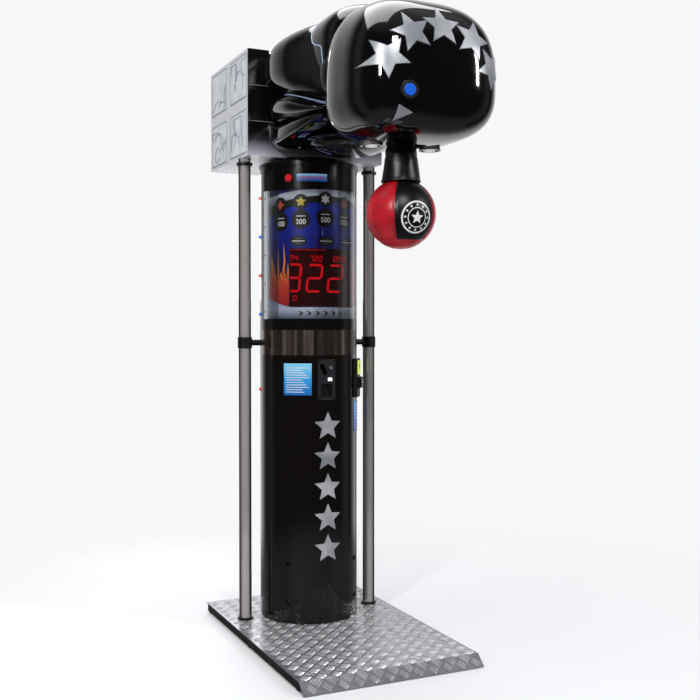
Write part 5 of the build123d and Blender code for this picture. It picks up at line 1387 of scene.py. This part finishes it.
def leatherPatch(name, fromAngle, toAngle, t0, t1, lift, thickness, closed=False):
    columns, rows = (96, 48) if closed else (40, 48)
    points, faces = [], []
    for i in range(columns + (0 if closed else 1)):
        turn = math.radians(fromAngle + (toAngle - fromAngle) * i / columns)
        for j in range(rows + 1):
            t = t0 + (t1 - t0) * j / rows
            points.append(sleevePoint(t, turn, lift))
    total = columns if closed else columns + 1
    for i in range(columns):
        for j in range(rows):
            a = i * (rows + 1) + j
            b = ((i + 1) % total) * (rows + 1) + j
            faces.append((a, b, b + 1, a + 1))
    data = bpy.data.meshes.new(name)
    data.from_pydata([tuple(p) for p in points], [], faces)
    obj = meshObject(name, data, finish["blackLeather"], 50)
    wall = obj.modifiers.new("wall", "SOLIDIFY")
    wall.thickness = thickness
    wall.offset = -1
    rim = obj.modifiers.new("rim", "BEVEL")
    rim.width = thickness * 0.3
    rim.segments = 2
    bakeModifiers(obj)
    return obj


def makeSleeve():
    wrap = leatherPatch("sleeveWrap", 0, 360, 0.0, 1.0, 0.0, sleeveLook["wall"], True)
    place(wrap, "ball_arm", "black_leather", "ball_sleeve")
    flap = leatherPatch("sleeveFlap", sleeveLook["flapFrom"], sleeveLook["flapTo"], 0.03, 0.99, 0.0021,
                        0.0020)
    place(flap, "ball_arm", "black_leather")
    for i, (angle, t) in enumerate(((-12, 0.08), (-12, 0.30), (-12, 0.55), (-12, 0.80), (56, 0.08),
                                    (56, 0.45), (56, 0.85))):
        turn = math.radians(angle)
        spot = sleevePoint(t, turn, 0.0021)
        outward = Vector((math.sin(turn), -math.cos(turn), 0.12)).normalized()
        across = Vector((math.cos(turn), math.sin(turn), 0))
        up = outward.cross(across)
        matrix = Matrix(((across.x, up.x, outward.x, spot.x), (across.y, up.y, outward.y, spot.y),
                         (across.z, up.z, outward.z, spot.z), (0, 0, 0, 1)))
        r = sleeveLook["studRadius"]
        profile = [(1e-5, -0.001), (r, -0.001), (r, 0.0005), (r * 0.8, 0.0013), (r * 0.45, 0.0016),
                   (1e-5, 0.0012)]
        place(revolve(f"sleeveStud{i}", profile, matrix, finish["darkChrome"], 24), "ball_arm",
              "black_leather")


makeSleeve()
print("sleeve made")


# printed plates on the column: rules in place of words
def platePrint(name, fromAngle, toAngle, low, high, stops, ruleKey, rows, replaced):
    def surface(x, y, depth, lift=0.0001, thick=0.0014):
        return onColumn(math.degrees(x / columnRadius), y, columnRadius + lift + thick * depth)

    x0, x1 = arc(fromAngle), arc(toAngle)
    paint = heightPrint(f"{name}Ink", low, high, stops, 0.28)
    sheet = flatOutline([boxOutline(x0, x1, low, high)], 0.006)
    place(wrapSheet(name, sheet, surface, paint), "machine", "blue_print", *replaced)
    rules = []
    wide = x1 - x0
    for i in range(rows):
        z = high - (high - low) * (0.14 + 0.76 * i / max(rows - 1, 1))
        length = wide * (0.82 - 0.22 * ((i * 7) % 4) / 3)
        rules.append(boxOutline(x0 + wide * 0.08, x0 + wide * 0.08 + length, z - 0.0014, z + 0.0014))
    sheet = flatOutline(rules, 0.006)
    place(wrapSheet(f"{name}Rules", sheet, lambda x, y, d: surface(x, y, d, 0.0015, 0.0002), finish[ruleKey]),
          "machine", "blue_print")


base = plateHigh[2]
platePrint("hintPlate", -51.5, -18.9, base + 0.912, base + 1.038,
           [(0, "1560b0"), (0.45, "2590d2"), (1, "7fcbea")],
           "whiteInk", 11, ["information_plates"])
platePrint("pricePlate", 44, 70, base + 0.757, base + 0.878, [(0, "0b3d98"), (0.5, "1c6fc6"), (1, "4fa6e0")],
           "whiteInk", 8, [])


def headerSign():
    selectLow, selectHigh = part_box("select_button")
    z = (selectLow[2] + selectHigh[2]) / 2

    def surface(x, y, depth, lift=0.0001, thick=0.0014):
        return onColumn(math.degrees(x / columnRadius), y, columnRadius + lift + thick * depth)

    x0, x1 = arc(-35.6), arc(-1)
    paint = heightPrint("signInkBlue", z - 0.015, z + 0.015,
                        [(0, "0c3c86"), (0.6, "2f7fc4"), (1, "9fd0ee")], 0.25)
    place(wrapSheet("headerSign", flatOutline([boxOutline(x0, x1, z - 0.015, z + 0.015)], 0.006), surface,
                    paint),
          "machine", "blue_print")
    arrows = []
    for i in range(8):  # a row of plain arrows that point to the button
        x = x0 + 0.012 + i * (x1 - x0 - 0.02) / 7.5
        arrows.append([(x + 0.008, z - 0.008), (x - 0.004, z), (x + 0.008, z + 0.008), (x + 0.004, z)])
    red = printedVinyl("signInkRed", "c2182c", 0.3)
    place(wrapSheet("headerSignArrows", flatOutline(arrows, 0.006), lambda x, y,
                    d: surface(x, y, d, 0.0015, 0.0003), red),
          "machine", "blue_print")


headerSign()


# the lit window of the coin unit and the glowing bezel of the bill unit
def unitLights():
    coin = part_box("coin_plate")
    coinZ = (coin[0][2] + coin[1][2]) / 2
    matrix = columnFrame(-2, coinZ, columnRadius)

    def onPlate(matrix, lift, thick):
        return lambda x, y, d: matrix @ Vector((x, y, lift + thick * d))

    window = flatOutline([boxOutline(0.0043, 0.0237, -0.0055, 0.0095)], 0)
    place(wrapSheet("coinWindow", window, onPlate(matrix, -0.002, 0.0075), finish["whiteLamp"]), "machine",
          "lit_window",
          "unit_lights")
    frames = [boxOutline(0.002, 0.026, -0.0085, 0.0125), boxOutline(0.0046, 0.0234, -0.0052, 0.0092)]
    place(wrapSheet("coinWindowFrame", flatOutline(frames, 0), onPlate(matrix, 0.006, 0.0012),
                    finish["plastic"]),
          "machine", "silver_trim")
    slant = math.radians(115)
    outer, hole = ([(-0.014 + u * math.cos(slant) - v * math.sin(slant),
                     0.042 + u * math.sin(slant) + v * math.cos(slant))
                    for u, v in roundedOutline(-a / 2, a / 2, -b / 2, b / 2, b / 2 - 0.0005)]
                   for a, b in ((0.046, 0.018), (0.033, 0.0052)))
    place(wrapSheet("coinSlotPlate", flatOutline([outer, hole], 0), onPlate(matrix, 0.006, 0.002),
                    finish["darkChrome"]), "machine", "silver_trim")
    cup = [boxOutline(-0.024, 0.024, -0.068, -0.016), boxOutline(-0.0205, 0.0205, -0.0645, -0.0195)]
    place(wrapSheet("returnCupFrame", flatOutline(cup, 0), onPlate(matrix, 0.006, 0.003), finish["plastic"]),
          "machine", "black_plastic")
    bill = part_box("bill_acceptor")
    billZ = (bill[0][2] + bill[1][2]) / 2
    matrix = columnFrame(57, billZ, columnRadius)
    glow = flatOutline([roundedOutline(-0.035, 0.035, 0.013, 0.071, 0.006)], 0)
    place(wrapSheet("billGlow", glow, onPlate(matrix, 0.0095, 0.0045), finish["limeLamp"]), "machine",
          "lit_window")
    arrows = [[(-0.012, 0.052), (0, 0.028), (0.012, 0.052), (0, 0.044)],
              [(-0.012, 0.066), (0, 0.042), (0.012, 0.066), (0, 0.058)]]
    place(wrapSheet("billArrows", flatOutline(arrows, 0), onPlate(matrix, 0.014, 0.0004), finish["plastic"]),
          "machine", "black_plastic")


unitLights()
print("small trim made")


# studio: pale floor and wall, a dark hall in front, and a few soft boxes
def makeStudio():
    data = bpy.data.meshes.new("studioFloor")
    size = 7.0
    data.from_pydata([(-size, -size, -0.0005), (size, -size, -0.0005), (size, size, -0.0005),
                      (-size, size, -0.0005)], [],
                     [(0, 1, 2, 3)])
    floorPaint, tree, shader = newFinish("matteStudioFloor", "e6e7e9", 0.0, 0.6)
    seen = addNode(tree, "ShaderNodeLightPath")
    tone = addNode(tree, "ShaderNodeMix", {"Factor": 0.0}, data_type="RGBA")
    tone.inputs["A"].default_value = hexToLinear("e6e7e9")
    # gloss sees a darker floor, so polish keeps its contrast
    tone.inputs["B"].default_value = hexToLinear("5a5b5e")
    tree.links.new(seen.outputs["Is Glossy Ray"], tone.inputs["Factor"])
    tree.links.new(tone.outputs["Result"], shader.inputs["Base Color"])
    spot = addNode(tree, "ShaderNodeTexCoord")
    away = addNode(tree, "ShaderNodeVectorMath", links={0: spot.outputs["Object"]}, operation="LENGTH")
    fade = addNode(tree, "ShaderNodeMapRange",
                   {"From Min": 1.1, "From Max": 2.6, "To Min": 1.0, "To Max": 0.0},
                   {"Value": away.outputs["Value"]}, interpolation_type="SMOOTHSTEP")
    tree.links.new(fade.outputs["Result"], shader.inputs["Alpha"])
    data.materials.append(floorPaint)
    floor = bpy.data.objects.new("studioFloor", data)
    bpy.context.collection.objects.link(floor)
    world = bpy.data.worlds.new("studio")
    bpy.context.scene.world = world
    world.use_nodes = True
    tree = world.node_tree
    tree.nodes.clear()
    spot = addNode(tree, "ShaderNodeTexCoord")
    ahead = addNode(tree, "ShaderNodeVectorMath", {1: (0.42, 0.907, 0.0)}, {0: spot.outputs["Generated"]},
                    operation="DOT_PRODUCT")
    wall = addNode(tree, "ShaderNodeMapRange",
                   {"From Min": 0.45, "From Max": 0.85, "To Min": 0.03, "To Max": 0.8},
                   {"Value": ahead.outputs["Value"]}, interpolation_type="SMOOTHSTEP")
    split = addNode(tree, "ShaderNodeSeparateXYZ", links={"Vector": spot.outputs["Generated"]})
    roof = addNode(tree, "ShaderNodeMapRange",
                   {"From Min": 0.55, "From Max": 0.95, "To Min": 0.0, "To Max": 0.22},
                   {"Value": split.outputs["Z"]}, interpolation_type="SMOOTHSTEP")
    level = addNode(tree, "ShaderNodeMath", links={0: wall.outputs["Result"], 1: roof.outputs["Result"]},
                    operation="MAXIMUM")
    streaks = addRamp(tree, addNode(tree, "ShaderNodeMapRange", {"From Min": -1.0, "From Max": 1.0},
                                    {"Value": ahead.outputs["Value"]}).outputs["Result"],
                      [(0.0, (0, 0, 0, 1)), (0.45, (0.0, 0.0, 0.0, 1)), (0.56, (0.1, 0.1, 0.1, 1)),
                       (0.63, (0.1, 0.1, 0.1, 1)), (0.7, (0.01, 0.01, 0.01, 1)),
                       (1.0, (0, 0, 0, 1))])  # two upright pale screens at the sides
    level = addNode(tree, "ShaderNodeMath", links={0: level.outputs["Value"], 1: streaks.outputs["Color"]},
                    operation="ADD")
    seen = addNode(tree, "ShaderNodeLightPath")
    fill = addNode(tree, "ShaderNodeMix", {"B": 0.42},
                   {"Factor": seen.outputs["Is Diffuse Ray"], "A": level.outputs["Value"]},
                   data_type="FLOAT")  # matt surfaces get an even fill
    hall = addNode(tree, "ShaderNodeBackground", {"Color": (0.98, 0.98, 1.0, 1)},
                   {"Strength": fill.outputs["Result"]})
    paleWall = addNode(tree, "ShaderNodeBackground", {"Color": (0.93, 0.935, 0.94, 1), "Strength": 1.0})
    mix = addNode(tree, "ShaderNodeMixShader", links={0: seen.outputs["Is Camera Ray"], 1: hall.outputs[0],
                                                      2: paleWall.outputs[0]})
    addNode(tree, "ShaderNodeOutputWorld", links={"Surface": mix.outputs[0]})
    for name, spot, aim, size, power in (
            ("topBox", (-0.4, 0.6, 5.2), (0, 0, 1.2), (4.2, 3.0), 130),
            ("leftBox", (-3.2, -2.7, 3.25), (0, 0, 1.4), (0.4, 0.8), 70),
            ("rightBox", (2.9, -2.9, 3.2), (0, 0, 1.4), (0.2, 0.9), 50),
            ("frontBox", (-1.4, -4.6, 5.0), (0, 0, 1.2), (0.9, 0.6), 110),
            ("rearBox", (0.6, 4.2, 2.6), (0, 0, 1.4), (2.4, 2.4), 60)):
        lamp = bpy.data.lights.new(name, "AREA")
        lamp.shape = "RECTANGLE"
        lamp.size, lamp.size_y = size
        lamp.energy = power
        obj = bpy.data.objects.new(name, lamp)
        obj.location = spot
        obj.rotation_euler = (Vector(aim) - Vector(spot)).to_track_quat("-Z", "Y").to_euler()
        bpy.context.collection.objects.link(obj)


makeStudio()

# camera: stands in front of the machine, to its left, at chest height
cameraSet = {"place": (-1.583, columnY - 3.819, 1.226), "turn": 24.9, "down": 1.38, "lens": 51.27}
eye = bpy.data.cameras.new("studioCamera")
eye.lens = cameraSet["lens"]
eye.sensor_width = 36
eye.clip_end = 60
cameraObject = bpy.data.objects.new("studioCamera", eye)
cameraObject.location = cameraSet["place"]
cameraObject.rotation_euler = (math.radians(90 - cameraSet["down"]), 0, -math.radians(cameraSet["turn"]))
bpy.context.collection.objects.link(cameraObject)
bpy.context.scene.camera = cameraObject
bpy.context.scene.view_settings.view_transform = "Standard"
print("studio made")
